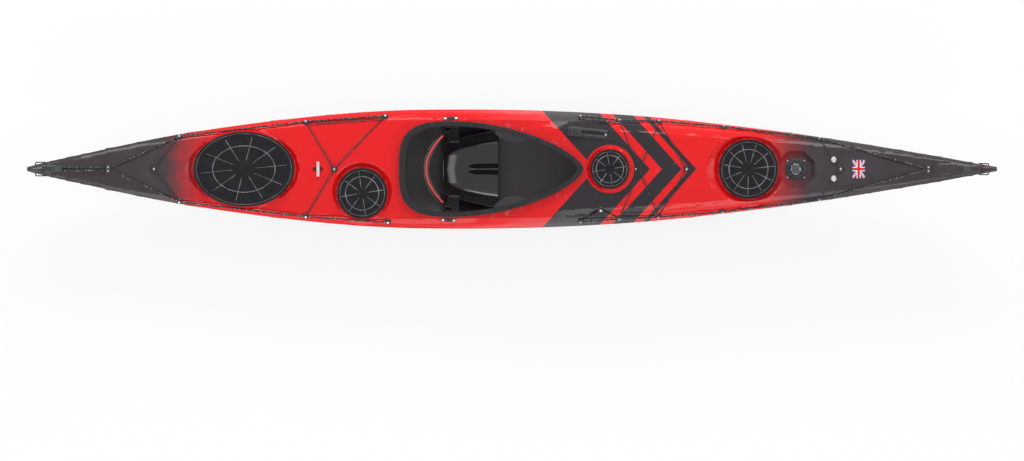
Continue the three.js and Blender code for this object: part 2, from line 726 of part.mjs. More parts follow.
// The coaming's egg-shaped outline, drawn in from the lip by a stated amount
function eggPoint(turn, insetEnd, insetSide) {
  const stern = alongOf(COAMING_STERN_SHARE);
  const widest = stern + COAMING_WIDEST_SHARE * COAMING_LENGTH;
  const [sin, cos] = [Math.sin(turn), Math.cos(turn)];
  const ahead = sin >= 0;
  const reach = ahead ? COAMING_LENGTH * (1 - COAMING_WIDEST_SHARE) : COAMING_LENGTH * COAMING_WIDEST_SHARE;
  const lengthPower = ahead ? EGG_BOW_LENGTH_POWER : EGG_STERN_POWER;
  const widthPower = ahead ? EGG_BOW_WIDTH_POWER : 2 / EGG_STERN_POWER;
  const x = widest + Math.sign(sin) * (reach - insetEnd) * Math.pow(Math.abs(sin), 2 / lengthPower);
  const y = Math.sign(cos) * (COAMING_HALF_WIDTH - insetSide) * Math.pow(Math.abs(cos), widthPower);
  return [x, y];
}

function eggTurns() {
  return Array.from({ length: EGG_STEPS }, (unused, i) => (i + 1 / 2) * 2 * Math.PI / EGG_STEPS);
}

const eggOutline = (insetEnd, insetSide) => eggTurns().map((turn) => eggPoint(turn, insetEnd, insetSide));

function coaming() {
  const rings = eggTurns().map((turn) => {
    const inner = eggPoint(turn, COAMING_LIP_END, COAMING_LIP_SIDE);
    const wall = eggPoint(turn, COAMING_LIP_END - COAMING_WALL, COAMING_LIP_SIDE - COAMING_WALL);
    const lip = eggPoint(turn, 0, 0);
    const seat = deckHeight(...wall);
    const top = seat + COAMING_HEIGHT;
    return [
      [...inner, seat - COAMING_DEPTH],
      [...inner, top],
      [...lip, top - COAMING_LIP_FALL],
      [...lip, top - COAMING_LIP_FALL - COAMING_LIP_THICKNESS],
      [...wall, top - COAMING_LIP_THICKNESS],
      [...wall, seat - COAMING_DEPTH],
    ];
  });
  return loopLoft(rings);
}

// A point on the straight runs between the coaming's rings, level with its lower edge
function coamingFoot(turn, insetEnd, insetSide) {
  const step = 2 * Math.PI / EGG_STEPS;
  const place = turn / step - 1 / 2;
  const [start, end] = [Math.floor(place), Math.floor(place) + 1].map((i) => {
    const at = (i + 1 / 2) * step;
    const foot = deckHeight(...eggPoint(at, COAMING_LIP_END - COAMING_WALL, COAMING_LIP_SIDE - COAMING_WALL));
    return new THREE.Vector3(...eggPoint(at, insetEnd, insetSide), foot - COAMING_DEPTH);
  });
  return start.lerp(end, place - Math.floor(place));
}

// Hatches: a neck bonded into the deck, and a lid that snaps over it
function hatchNeck(bed) {
  const outer = bed.half - LID_SKIRT - LID_FIT;
  const inner = outer - NECK_WALL;
  const profile = [[inner, -NECK_DEPTH], [outer, -NECK_DEPTH], [outer, NECK_RISE], [inner, NECK_RISE]];
  return turned(profile, LID_SEGMENTS, bed.halfWidth / bed.half).translate(bed.x, bed.y, bed.z);
}

function hatchLid(bed, crown) {
  const outer = bed.half;
  const inner = outer - LID_SKIRT;
  const under = NECK_RISE + LID_FIT;
  const top = under + LID_TOP;
  const profile = [
    [0, under], [inner, under], [inner, LID_LIFT], [outer, LID_LIFT], [outer, top - LID_ROUND / 2],
    [outer - LID_ROUND, top], [outer * LID_HUB_SHARE, top + crown], [0, top + crown],
  ];
  return turned(profile, LID_SEGMENTS, bed.halfWidth / bed.half).translate(bed.x, bed.y, bed.z);
}

function hatchCut(bed) {
  const ratio = bed.halfWidth / bed.half;
  const neck = bed.half - LID_SKIRT - LID_FIT + GAP;
  const lid = bed.half + LID_CLEAR;
  const profile = [
    [0, -OVERRUN], [neck, -OVERRUN], [neck, LID_LIFT - GAP], [lid, LID_LIFT - GAP], [lid, OVERRUN],
    [0, OVERRUN],
  ];
  return solid(turned(profile, LID_SEGMENTS, ratio).translate(bed.x, bed.y, bed.z));
}

function podTub(bed) {
  const outer = bed.half - LID_SKIRT - LID_FIT;
  const inner = outer - NECK_WALL;
  const floor = POD_WALL - POD_DEPTH;
  const profile = [
    [0, -POD_DEPTH], [outer, -POD_DEPTH], [outer, NECK_RISE], [inner, NECK_RISE], [inner, floor], [0, floor],
  ];
  return turned(profile, LID_SEGMENTS).translate(bed.x, bed.y, bed.z);
}

// Seat pan: a thigh-shaped sheet with raised sides and back
function seatPoint(alongShare, acrossShare, lift) {
  const across = 2 * acrossShare - 1;
  const half = THREE.MathUtils.lerp(SEAT_REAR_HALF, SEAT_FRONT_HALF, Math.pow(alongShare, 2 / 3));
  const away = Math.abs(across);
  const ridge = Math.exp(-Math.pow(across / SEAT_RIDGE_WIDTH_SHARE, 2)) * smooth(3 * alongShare - 1);
  const ends = SEAT_BACK_RISE * Math.pow(1 - alongShare, 4) + SEAT_FRONT_RISE * Math.pow(alongShare, 2);
  const sides = SEAT_SIDE_RISE * Math.pow(away, 5) * (1 + alongShare) / 2;
  const z = SEAT_PAN_HEIGHT + ends + sides + SEAT_RIDGE_RISE * ridge;
  return [alongOf(SEAT_STERN_SHARE) + SEAT_LENGTH * alongShare, across * half, z + lift];
}

function seatPan() {
  return sheet(SEAT_ALONG, SEAT_ACROSS, (i, j) => seatPoint(i, j, 0), () => SEAT_WALL);
}

// Hanger: the side of the seat carried up to the coaming, where it is bolted
function seatHanger(side) {
  const x = alongOf(HIP_PLACE_SHARE);
  const alongShare = (x - alongOf(SEAT_STERN_SHARE)) / SEAT_LENGTH;
  const [, edgeY, edgeZ] = seatPoint(alongShare, 1, 0);
  const wallY = COAMING_HALF_WIDTH - COAMING_LIP_SIDE;
  const top = deckHeight(x, wallY) - HIP_TOP_DROP;
  const innerY = wallY - HIP_WALL;
  const profile = [
    [edgeY - HIP_WALL * 2, edgeZ - SEAT_WALL], [edgeY, edgeZ - SEAT_WALL], [wallY, top - HIP_FOOT],
    [wallY, top], [innerY, top], [innerY, top - HIP_FOOT], [edgeY - HIP_WALL, edgeZ + HIP_WALL],
    [edgeY - HIP_WALL * 3, edgeZ],
  ];
  const low = x - HIP_LENGTH / 2;
  const rings = [low, low + HIP_LENGTH].map((place) => profile.map(([y, z]) => [place, side * y, z]));
  const trim = solid(prism(eggOutline(COAMING_LIP_END + GAP, COAMING_LIP_SIDE + GAP), 0, BOW_HEIGHT));
  return solid(loft(rings)).intersect(trim);
}

function seat() {
  return solid(seatPan()).add(seatHanger(1)).add(seatHanger(-1));
}

// Draws a sine or cosine outwards, so that a ring of them is a rounded rectangle
const squared = (value) => Math.sign(value) * Math.pow(Math.abs(value), 2 / 3);

// Backband: a crowned pad swept back in the middle, its top a little above the coaming's foot
const padTop = BAND_PAD_RISE + deckHeight(
  alongOf(BAND_PAD_CENTRE_SHARE) + BAND_PAD_SWEEP, COAMING_HALF_WIDTH - COAMING_LIP_SIDE,
);

function backbandCentre(acrossShare) {
  const x = alongOf(BAND_PAD_CENTRE_SHARE) + BAND_PAD_SWEEP * Math.pow(acrossShare, 2);
  return [x, acrossShare * BAND_PAD_HALF_WIDTH];
}

function backband() {
  const rings = [];
  for (let i = 0; i <= BAND_PAD_STEPS; i += 1) {
    const acrossShare = 2 * i / BAND_PAD_STEPS - 1;
    const [x, y] = backbandCentre(acrossShare);
    const taper = Math.pow(Math.abs(acrossShare), 4);
    const height = BAND_PAD_HEIGHT * THREE.MathUtils.lerp(1, BAND_PAD_END_HEIGHT_SHARE, taper);
    const thickness = BAND_PAD_THICKNESS * THREE.MathUtils.lerp(1, BAND_PAD_END_THICKNESS_SHARE, taper);
    const middle = padTop - BAND_PAD_HEIGHT / 2;
    const lean = Math.atan2(2 * BAND_PAD_SWEEP * acrossShare, BAND_PAD_HALF_WIDTH);
    const ring = [];
    for (let j = 0; j < BAND_PAD_SIDES; j += 1) {
      const turn = j * 2 * Math.PI / BAND_PAD_SIDES;
      const out = squared(Math.cos(turn)) * thickness / 2;
      const up = squared(Math.sin(turn)) * height / 2;
      ring.push([x + out * Math.cos(lean), y - out * Math.sin(lean), middle + up]);
    }
    rings.push(ring);
  }
  return loft(rings);
}

function backbandStrap(side) {
  const [x, y] = backbandCentre(side);
  const z = padTop - BAND_PAD_HEIGHT * STRAP_TOP_SHARE;
  const endX = x + STRAP_REACH;
  const start = y - side * STRAP_WALL * 2;
  const end = side * (COAMING_HALF_WIDTH - COAMING_LIP_SIDE - HIP_WALL - SEAT_GAP - STRAP_WALL);
  const [low, high] = [z - STRAP_HEIGHT / 2, z + STRAP_HEIGHT / 2];
  const places = [[x - STRAP_WALL, start], [x + STRAP_REACH / 2, (start + end) / 2], [endX, end]];
  const rings = places.map(([px, py]) => {
    const outerY = py + side * STRAP_WALL;
    return [[px, py, low], [px, py, high], [px, outerY, high], [px, outerY, low]];
  });
  return solid(loft(rings));
}

// Thigh brace: a curved plate under the coaming that reaches in over the leg
function thighBrace(side) {
  const start = Math.PI * 2 * THIGH_START_TURN_SHARE;
  const end = Math.PI * 2 * THIGH_END_TURN_SHARE;
  const wing = (alongShare) => Math.sin(Math.PI * THREE.MathUtils.clamp(alongShare, 0, 1));
  const rings = [];
  for (let i = 0; i <= THIGH_STEPS; i += 1) {
    const turn = THREE.MathUtils.lerp(start, end, i / THIGH_STEPS);
    const reach = THIGH_ROOT + (THIGH_REACH - THIGH_ROOT) * wing(i / THIGH_STEPS);
    const drop = THIGH_DROOP * wing(i / THIGH_STEPS);
    const places = [[-THIGH_ROOT, 0], [0, 0], [reach, drop]].map(([inset, down]) => {
      const foot = coamingFoot(turn, COAMING_LIP_END + inset, COAMING_LIP_SIDE + inset);
      return [foot.x, side * foot.y, foot.z - GAP - down];
    });
    const under = places.map(([x, y, z]) => [x, y, z - THIGH_WALL]).reverse();
    rings.push([...places, ...under]);
  }
  return loft(rings);
}

// Foot rests: a rail on each side of the hull, with a pedal that slides along it
function hullInnerHalf(x, z) {
  const ring = hullSection(shareOf(x), HULL_WALL, true);
  const side = ring.slice(0, ring.length / 2).reverse();
  for (let i = 0; i + 1 < side.length; i += 1) {
    const [low, high] = [side[i], side[i + 1]];
    if (z >= low[2] && z <= high[2]) {
      return THREE.MathUtils.mapLinear(z, low[2], high[2], low[1], high[1]);
    }
  }
  return side.at(-1)[1];
}

function railFrame(side) {
  const low = RAIL_PLACE_HEIGHT - RAIL_HEIGHT / 2;
  const start = alongOf(RAIL_STERN_SHARE);
  const first = hullInnerHalf(start, low) - RAIL_CLEAR;
  const last = hullInnerHalf(start + RAIL_LENGTH, low) - RAIL_CLEAR;
  const yaw = Math.atan2(side * (last - first), RAIL_LENGTH);
  const centre = new THREE.Vector3(start + RAIL_LENGTH / 2, side * (first + last) / 2, RAIL_PLACE_HEIGHT);
  return new THREE.Matrix4().makeRotationZ(yaw).setPosition(centre);
}

function footRail(side) {
  const body = boxAt([RAIL_LENGTH, RAIL_DEPTH, RAIL_HEIGHT], [0, -side * RAIL_DEPTH / 2, 0]);
  const groove = boxAt(
    [RAIL_LENGTH - RAIL_HEIGHT, RAIL_GROOVE * 2, RAIL_GROOVE], [0, -side * RAIL_DEPTH, 0],
  );
  return geometryOf(solid(body).subtract(solid(groove))).applyMatrix4(railFrame(side));
}

function footPedal(side) {
  const face = RAIL_DEPTH + GAP;
  const across = (depth) => -side * (face + depth / 2);
  const plate = boxAt([PEDAL_WALL, PEDAL_WIDTH, PEDAL_HEIGHT], [0, across(PEDAL_WIDTH), PEDAL_RISE]);
  const shoe = boxAt([PEDAL_FOOT, PEDAL_WALL, RAIL_HEIGHT], [-PEDAL_FOOT / 2, across(PEDAL_WALL), 0]);
  const tongue = boxAt([PEDAL_FOOT, RAIL_GROOVE, RAIL_GROOVE - 2 * GAP], [-PEDAL_FOOT / 2, across(0), 0]);
  return geometryOf(solid(plate).add(solid(shoe)).add(solid(tongue))).applyMatrix4(railFrame(side));
}

// Bulkheads close the hull across, trimmed to its inside and bored for the skeg cable
function bulkhead(placeShare, inside, cable) {
  const plate = solid(boxAt([BULKHEAD_WALL, BEAM, BOW_HEIGHT * 2], [alongOf(placeShare), 0, BOW_HEIGHT / 2]));
  return inside.map((space) => plate.intersect(space)).reduce((a, b) => a.add(b)).subtract(cable);
}

// Skeg: a blade on a pin in a box open at the keel
const pivot = (() => {
  const lines = linesAt(SKEG_PIVOT_SHARE);
  return new THREE.Vector3(lines.x, 0, lines.keel + SKEG_PIVOT_RISE);
})();

function alongY(outline, thickness) {
  const shape = new THREE.Shape(outline.map(([x, z]) => new THREE.Vector2(x, z)));
  const geometry = new THREE.ExtrudeGeometry(shape, { depth: thickness, bevelEnabled: false });
  return geometry.translate(0, 0, -thickness / 2).rotateX(Math.PI / 2);
}

function bladeOutline() {
  const [root, tip] = [SKEG_ROOT_CHORD / 2, SKEG_TIP_CHORD / 2];
  const round = tip / 2;
  return [
    [root / 2, root / 2], [root / 2, -root / 2], [0, -root / 2], [-SKEG_BLADE_LENGTH / 2, -root * 4 / 5],
    [round - SKEG_BLADE_LENGTH, -tip / 2 - round / 2], [-SKEG_BLADE_LENGTH, -round / 2],
    [-SKEG_BLADE_LENGTH, round], [round - SKEG_BLADE_LENGTH, tip], [-SKEG_ROOT_CHORD, root],
  ];
}

function skegBlade() {
  const blade = solid(alongY(bladeOutline(), SKEG_BLADE_THICKNESS));
  const hole = solid(rod(SKEG_PIN_RADIUS + GAP, OVERRUN, ROUND_SEGMENTS, [0, 0, 0], 'y'));
  const turn = -THREE.MathUtils.degToRad(SKEG_DOWN_DEGREES);
  return geometryOf(blade.subtract(hole)).rotateY(turn).translate(pivot.x, pivot.y, pivot.z);
}

function skegBoxOutline(inset, floorDrop) {
  const [aft, fore] = [pivot.x - SKEG_BOX_AFT + inset, pivot.x + SKEG_BOX_FORE - inset];
  const keelAt = (x) => linesAt(shareOf(x)).keel - floorDrop;
  const top = pivot.z + SKEG_BOX_HEIGHT - SKEG_PIVOT_RISE - inset;
  const middle = (aft + fore) / 2;
  return [
    [aft, keelAt(aft)], [middle, keelAt(middle)], [fore, keelAt(fore)], [fore, top - SKEG_BOX_HEIGHT / 3],
    [fore - SKEG_BOX_FORE, top], [aft, top],
  ];
}

function skegBox() {
  const outer = solid(alongY(skegBoxOutline(0, -GAP), SKEG_BOX_HALF * 2));
  const inner = solid(alongY(skegBoxOutline(SKEG_BOX_WALL, OVERRUN), (SKEG_BOX_HALF - SKEG_BOX_WALL) * 2));
  const bore = solid(rod(SKEG_PIN_RADIUS + GAP, OVERRUN, ROUND_SEGMENTS, pivot.toArray(), 'y'));
  return outer.subtract(inner).subtract(bore);
}

function skegBoxEnvelope() {
  return solid(alongY(skegBoxOutline(-GAP, OVERRUN), (SKEG_BOX_HALF + GAP) * 2));
}

// Skeg control: a track let into the deck, and a knob that slides along it
const sliderFrame = deckFrame(
  SLIDER_PLACE_SHARE, SLIDER_ACROSS_SHARE, THREE.MathUtils.degToRad(SLIDER_YAW_DEGREES), SLIDER_WIDTH / 2,
);

function roundedOutline(length, width, corner) {
  const shape = new THREE.Shape();
  const [x, y] = [length / 2, width / 2];
  shape.moveTo(-x + corner, -y);
  shape.lineTo(x - corner, -y).absarc(x - corner, -y + corner, corner, -Math.PI / 2, 0);
  shape.lineTo(x, y - corner).absarc(x - corner, y - corner, corner, 0, Math.PI / 2);
  shape.lineTo(-x + corner, y).absarc(-x + corner, y - corner, corner, Math.PI / 2, Math.PI);
  shape.lineTo(-x, -y + corner).absarc(-x + corner, -y + corner, corner, Math.PI, 3 * Math.PI / 2);
  return shape;
}

function slab(length, width, corner, low, high) {
  const options = { depth: high - low, bevelEnabled: false, curveSegments: CORNER_SEGMENTS };
  return new THREE.ExtrudeGeometry(roundedOutline(length, width, corner), options).translate(0, 0, low);
}

function sliderTrack() {
  const body = solid(slab(SLIDER_LENGTH, SLIDER_WIDTH, SLIDER_CORNER, -SLIDER_DEPTH, SLIDER_PROUD));
  const length = SLIDER_LENGTH - 2 * SLIDER_SLOT_MARGIN;
  const slot = solid(boxAt([length, SLIDER_SLOT_WIDTH, SLIDER_SLOT_DEPTH * 2], [0, 0, SLIDER_PROUD]));
  return geometryOf(body.subtract(slot)).applyMatrix4(sliderFrame);
}

function sliderEnvelope() {
  const corner = SLIDER_CORNER + GAP;
  const size = [SLIDER_LENGTH + 2 * GAP, SLIDER_WIDTH + 2 * GAP];
  return solid(slab(...size, corner, -OVERRUN, OVERRUN).applyMatrix4(sliderFrame));
}

const knobPlace = -SLIDER_LENGTH / 2 + SLIDER_SLOT_MARGIN + KNOB_LENGTH / 2;

function sliderKnob() {
  const base = SLIDER_PROUD + GAP;
  const [half, width] = [KNOB_LENGTH / 2, SLIDER_WIDTH / 2];
  const layer = (shrink, z) => {
    const [x, y] = [half - shrink, width - shrink];
    return [[-x, -y, z], [x, -y, z], [x, y, z], [-x, y, z]];
  };
  const top = base + KNOB_RISE;
  const cap = loft([layer(0, base), layer(0, top - KNOB_BEVEL / 2), layer(KNOB_BEVEL, top)]);
  const stemSize = [KNOB_LENGTH / 2, KNOB_STEM_WIDTH, KNOB_STEM_DEPTH + GAP];
  const stem = boxAt(stemSize, [0, 0, base - (KNOB_STEM_DEPTH - GAP) / 2]);
  return geometryOf(solid(cap).add(solid(stem))).translate(knobPlace, 0, 0).applyMatrix4(sliderFrame);
}

// The cable's casing runs from the skeg box along the port side up to the control
const CABLE_SHARES = [
  [0.1424, 0, 0.4], [0.153, 0.14, 0.43], [0.166, 0.5, 0.45], [0.185, 0.84, 0.44], [0.25, 0.9, 0.42],
  [0.3, 0.91, 0.42], [0.36, 0.9, 0.43], [0.42, 0.91, 0.44], [0.48, 0.91, 0.45], [0.53, 0.87, 0.5],
  [0.5565, 0.74, 0.59],
];
function cablePoints() {
  return CABLE_SHARES.map(([place, across, height]) => {
    const lines = linesAt(place);
    return new THREE.Vector3(lines.x, across * lines.half, height * BOW_HEIGHT);
  });
}

function cable(radius) {
  const curve = new THREE.CatmullRomCurve3(cablePoints(), false, 'centripetal');
  return solid(cord(curve.getPoints(CABLE_STEPS), radius));
}

// Security bar: a moulded cup in the deck with a bar across it
function cup(grow, depth, lift) {
  const [length, width] = [CUP_LENGTH / 2 + grow, CUP_WIDTH / 2 + grow];
  const middle = deckPoint(CUP_PLACE_SHARE, 0);
  const profile = [[0, -depth], [length * 3 / 4, -depth], [length, lift], [0, lift]];
  return solid(turned(profile, CUP_SEGMENTS, width / length).translate(middle.x, middle.y, middle.z));
}

function securityBar() {
  const middle = deckPoint(CUP_PLACE_SHARE, 0);
  const height = BAR_THICKNESS * 2 + BAR_LEG;
  const centre = middle.clone().setZ(middle.z + BAR_LEG / 2);
  const under = centre.clone().setZ(centre.z - BAR_THICKNESS);
  const shape = boxAt([BAR_WIDTH, BAR_LENGTH, height], centre.toArray());
  const clear = boxAt([BAR_WIDTH * 2, BAR_LENGTH - 2 * BAR_WIDTH, height], under.toArray());
  return solid(shape).subtract(solid(clear)).subtract(deckCutter);
}

// Toggles: a wedge-shaped grip on a loop of cord through the boat's tip
function toggleFrame(toggle) {
  const lines = linesAt(toggle.gripShare);
  const inner = alongOf(toggle.gripShare) - toggle.towardTip * TOGGLE_LENGTH;
  return { high: lines.x, inner, ends: [lines.x, inner].map((x) => deckTop(x, 0)) };
}

function toggleGrip(toggle) {
  const { high, ends, inner } = toggleFrame(toggle);
  const outline = GRIP_OUTLINE_SHARES.map(([share, rise]) => [
    THREE.MathUtils.lerp(inner, high, share),
    THREE.MathUtils.lerp(ends[1], ends[0], share) + TOGGLE_LIFT + rise * TOGGLE_HEIGHT,
  ]);
  const mean = (axis) => outline.reduce((sum, point) => sum + point[axis], 0) / outline.length;
  const middle = [mean(0), mean(1)];
  const half = TOGGLE_WIDTH / 2;
  const flat = half - TOGGLE_BEVEL;
  const rings = [[-half, 1], [-flat, 0], [flat, 0], [half, 1]].map(([y, drawn]) => (
    outline.map(([x, z]) => {
      const scale = 1 - drawn * GRIP_BEVEL_SHARE;
      return [middle[0] + (x - middle[0]) * scale, y, middle[1] + (z - middle[1]) * scale];
    })
  ));
  const eye = toggleEye(toggle);
  const bore = rod(TOGGLE_CORD_RADIUS + TOGGLE_EYE_CLEAR, OVERRUN, BORE_SEGMENTS, eye.toArray(), 'y');
  return solid(loft(rings)).subtract(solid(bore));
}

function toggleEye(toggle) {
  const { high, ends } = toggleFrame(toggle);
  const height = ends[0] + TOGGLE_LIFT + TOGGLE_HEIGHT / 2;
  return new THREE.Vector3(high - toggle.towardTip * TOGGLE_EYE_INSET, 0, height);
}

function toggleHole(toggle) {
  const lines = linesAt(toggle.holeShare);
  return new THREE.Vector3(lines.x, 0, (lines.seam + lines.joint) / 2);
}

function toggleCord(toggle) {
  const [hole, eye] = [toggleHole(toggle), toggleEye(toggle)];
  const slim = linesAt(toggle.holeShare).half;
  const wide = TOGGLE_WIDTH / 2;
  const run = CORD_RUN_SHARES.map((share) => {
    const place = hole.clone().lerp(eye, share);
    const edge = share <= 1 / 2 ? linesAt(shareOf(place.x)).half : 0;
    const aside = Math.max(THREE.MathUtils.lerp(slim, wide, share), edge);
    place.y = aside + TOGGLE_CORD_RADIUS + TOGGLE_CORD_CLEAR;
    return place;
  });
  const [start, end] = [hole.clone().setY(slim), eye.clone().setY(wide)];
  const port = [start, ...run, end];
  const starboard = port.map((point) => point.clone().setY(-point.y)).reverse();
  return cord([...port, ...starboard], TOGGLE_CORD_RADIUS, true);
}

// Compass in its recess
function compassHousing() {
  const bed = beds.compass;
  const rim = COMPASS_RADIUS - (COMPASS_RADIUS - COMPASS_BOWL_RADIUS) / 3;
  const profile = [
    [0, 0], [COMPASS_RADIUS, 0], [COMPASS_RADIUS, COMPASS_HEIGHT / 2], [rim, COMPASS_HEIGHT],
    [COMPASS_BOWL_RADIUS, COMPASS_HEIGHT], [COMPASS_BOWL_RADIUS, COMPASS_BOWL_FLOOR],
    [COMPASS_PIN_RADIUS, COMPASS_BOWL_FLOOR], [COMPASS_PIN_RADIUS, COMPASS_BOWL_FLOOR + COMPASS_PIN_HEIGHT],
    [0, COMPASS_BOWL_FLOOR + COMPASS_PIN_HEIGHT],
  ];
  return turned(profile, COMPASS_SEGMENTS).translate(bed.x, bed.y, bed.z + SEAT_GAP);
}

function compassCard() {
  const bed = beds.compass;
  const low = COMPASS_BOWL_FLOOR + COMPASS_PIN_HEIGHT + GAP;
  const high = low + COMPASS_CARD_HEIGHT;
  const profile = [[0, low], [COMPASS_CARD_RADIUS, low], [COMPASS_CARD_RADIUS, high], [0, high]];
  return turned(profile, COMPASS_SEGMENTS).translate(bed.x, bed.y, bed.z + SEAT_GAP);
}

function compassDome() {
  const bed = beds.compass;
  const outer = COMPASS_BOWL_RADIUS - GAP;
  const inner = outer - COMPASS_DOME_WALL;
  const spring = COMPASS_HEIGHT - COMPASS_PIN_HEIGHT;
  const turns = [0, 1, 2, 3, 4].map((i) => i * Math.PI / 8);
  const arc = (radius, rise) => (
    turns.map((turn) => [radius * Math.cos(turn), spring + rise * Math.sin(turn)])
  );
  const rise = COMPASS_BOWL_RADIUS / 2;
  const profile = [...arc(outer, rise), ...arc(inner, rise - COMPASS_DOME_WALL).reverse()];
  profile[4][0] = 0;
  profile[5][0] = 0;
  return turned(profile, COMPASS_SEGMENTS).translate(bed.x, bed.y, bed.z + SEAT_GAP);
}

// Rigging: each run is drawn tight over the deck between its two ends
function tightRun(start, end, clearance) {
  const kept = [start];
  const samples = Array.from({ length: RUN_SAMPLES }, (unused, i) => {
    const point = start.clone().lerp(end, (i + 1) / (RUN_SAMPLES + 1));
    point.z = deckTop(point.x, point.y) + clearance;
    return point;
  });
  const reach = (point) => Math.hypot(point.x - start.x, point.y - start.y);
  const under = (a, b, c) => (b.z - a.z) * (reach(c) - reach(a)) < (c.z - a.z) * (reach(b) - reach(a));
  for (const point of [...samples, end]) {
    while (kept.length > 1 && under(kept.at(-2), kept.at(-1), point)) kept.pop();
    kept.push(point);
  }
  return kept;
}

function route(places, radius, lift, clearance) {
  const corners = places.map(([place, across]) => (
    new THREE.Vector3(0, 0, lift + radius).applyMatrix4(deckFrame(place, across, 0, FITTING_RADIUS))
  ));
  const points = [];
  for (let i = 0; i + 1 < corners.length; i += 1) {
    const run = tightRun(corners[i], corners[i + 1], radius + clearance);
    if (i > 0) run[0] = run[0].clone().lerp(run[1], Math.min(LINE_BEND / run[0].distanceTo(run[1]), 1 / 2));
    if (i + 2 < corners.length) {
      const [last, end] = run.slice(-2);
      run[run.length - 1] = end.clone().lerp(last, Math.min(LINE_BEND / end.distanceTo(last), 1 / 2));
    }
    if (i > 0) {
      const middle = points.at(-1).clone().lerp(run[0], 1 / 2).lerp(corners[i], 1 / 2);
      points.push(middle);
    }
    points.push(...run);
  }
  return points;
}

const RIGGING_SHARES = {
  deck_line_stern: [
    [0.3722, -0.89], [0.2874, -0.89], [0.157, -0.9], [0.0832, 0], [0.157, 0.9], [0.2874, 0.89],
    [0.3694, 0.89],
  ],
  deck_line_bow: [
    [0.5706, -0.89], [0.6508, -0.89], [0.7175, -0.93], [0.8169, -0.89], [0.9297, 0],
    [0.8169, 0.89], [0.7185, 0.93], [0.6515, 0.89], [0.5706, 0.89],
  ],
  bungee_stern: [[0.157, -0.86], [0.1307, 0], [0.157, 0.86]],
  bungee_aft: [[0.2874, -0.82], [0.3167, 0], [0.2874, 0.82]],
  bungee_fore: [[0.6508, -0.84], [0.6797, 0], [0.6515, 0.84]],
  bungee_bow: [[0.8176, -0.82], [0.8389, 0], [0.8176, 0.82]],
};
const FITTING_SHARES = {
  fitting_stern_port: [0.157, 0.9],
  fitting_stern_starboard: [0.157, -0.9],
  fitting_aft_port: [0.2874, 0.89],
  fitting_aft_starboard: [0.2874, -0.89],
  fitting_aft_centre: [0.3167, 0],
  fitting_cockpit_port: [0.3694, 0.89],
  fitting_cockpit_starboard: [0.3722, -0.89],
  fitting_knee_port: [0.5706, 0.89],
  fitting_knee_starboard: [0.5706, -0.89],
  fitting_fore_port: [0.6515, 0.89],
  fitting_fore_starboard: [0.6508, -0.89],
  fitting_bow_port: [0.8169, 0.89],
  fitting_bow_starboard: [0.8169, -0.89],
};
const POST_SHARES = { post_stern: [0.0832, 0], post_bow: [0.9297, 0] };
const BEAD_ALONG_SHARES = { bead_port: 2 / 3, bead_starboard: 1 / 3 };

// Radius of each kind of cord, with its height over the deck at the fittings and between them
const LINE = [LINE_RADIUS, LINE_LIFT, LINE_CLEARANCE];
const BUNGEE = [BUNGEE_RADIUS, BUNGEE_LIFT, BUNGEE_CLEARANCE];

function ropeSolids(grow) {
  return Object.fromEntries(Object.entries(RIGGING_SHARES).map(([name, places]) => {
    const [radius, ...lifts] = name.startsWith('bungee') ? BUNGEE : LINE;
    return [name, solid(cord(route(places, radius, ...lifts), radius + grow))];
  }));
}

function fitting(place, height, cords) {
  const frame = deckFrame(...place, 0, FITTING_RADIUS);
  const profile = [
    [0, -FITTING_SINK], [FITTING_RADIUS, -FITTING_SINK], [FITTING_RADIUS, height / 3],
    [FITTING_RADIUS * 4 / 5, height * 3 / 4], [FITTING_RADIUS / 3, height], [0, height],
  ];
  const body = solid(turned(profile, FITTING_SEGMENTS).applyMatrix4(frame));
  return cut(body, deckCutter, ...cords);
}

function bead(alongShare, bungee) {
  const points = route(RIGGING_SHARES.bungee_bow, ...BUNGEE);
  const centre = new THREE.CatmullRomCurve3(points, false, 'centripetal').getPointAt(alongShare);
  const ball = new THREE.SphereGeometry(BEAD_RADIUS, BEAD_SEGMENTS, BEAD_RINGS);
  ball.translate(centre.x, centre.y, Math.max(centre.z, deckTop(centre.x, centre.y) + BEAD_RADIUS / 2));
  return solid(facingOut(welded(ball))).subtract(bungee).subtract(deckCutter);
}

// Assembly
const cableCut = cable(CABLE_RADIUS + GAP);
const insides = [hullCavity(HULL_WALL + SEAT_GAP), deckCavity(DECK_WALL + SEAT_GAP)];
const holes = Object.values(TOGGLES).map((toggle) => {
  const hole = toggleHole(toggle);
  return solid(rod(TOGGLE_CORD_RADIUS + TIP_HOLE_CLEAR, OVERRUN, BORE_SEGMENTS, hole.toArray(), 'y'));
});

const boxTool = skegBoxEnvelope();
addPiece('hull_shell', cut(hullBody(), hullHollow, boxTool, ...holes), FINISH.hull);
addPiece('seam_band', cut(seamBand(), ...holes), FINISH.band);

const cockpitCut = solid(prism(
  eggOutline(COAMING_LIP_END - COAMING_WALL - GAP, COAMING_LIP_SIDE - COAMING_WALL - GAP), 0, BOW_HEIGHT * 2,
));
const hatchCuts = Object.keys(HATCHES).map((name) => hatchCut(beds[name]));
const deckTools = [cockpitCut, sliderEnvelope(), ...hatchCuts, ...holes];
const deckShell = cut(deckSkin.subtract(deckHollow), ...deckTools)
  .add(cup(CUP_WALL, CUP_DEPTH + CUP_WALL, 0).intersect(deckSkin))
  .subtract(cup(0, CUP_DEPTH, OVERRUN));
addPiece('deck_shell', deckShell, FINISH.deck);
addPiece('coaming', coaming(), FINISH.plastic);

for (const [name, hatch] of Object.entries(HATCHES)) {
  if (name !== 'pod') addPiece(`${name}_hatch_neck`, hatchNeck(beds[name]), FINISH.plastic);
  addPiece(`${name}_hatch_lid`, hatchLid(beds[name], hatch.crown), FINISH.rubber);
}
addPiece('pod_tub', podTub(beds.pod), FINISH.plastic);

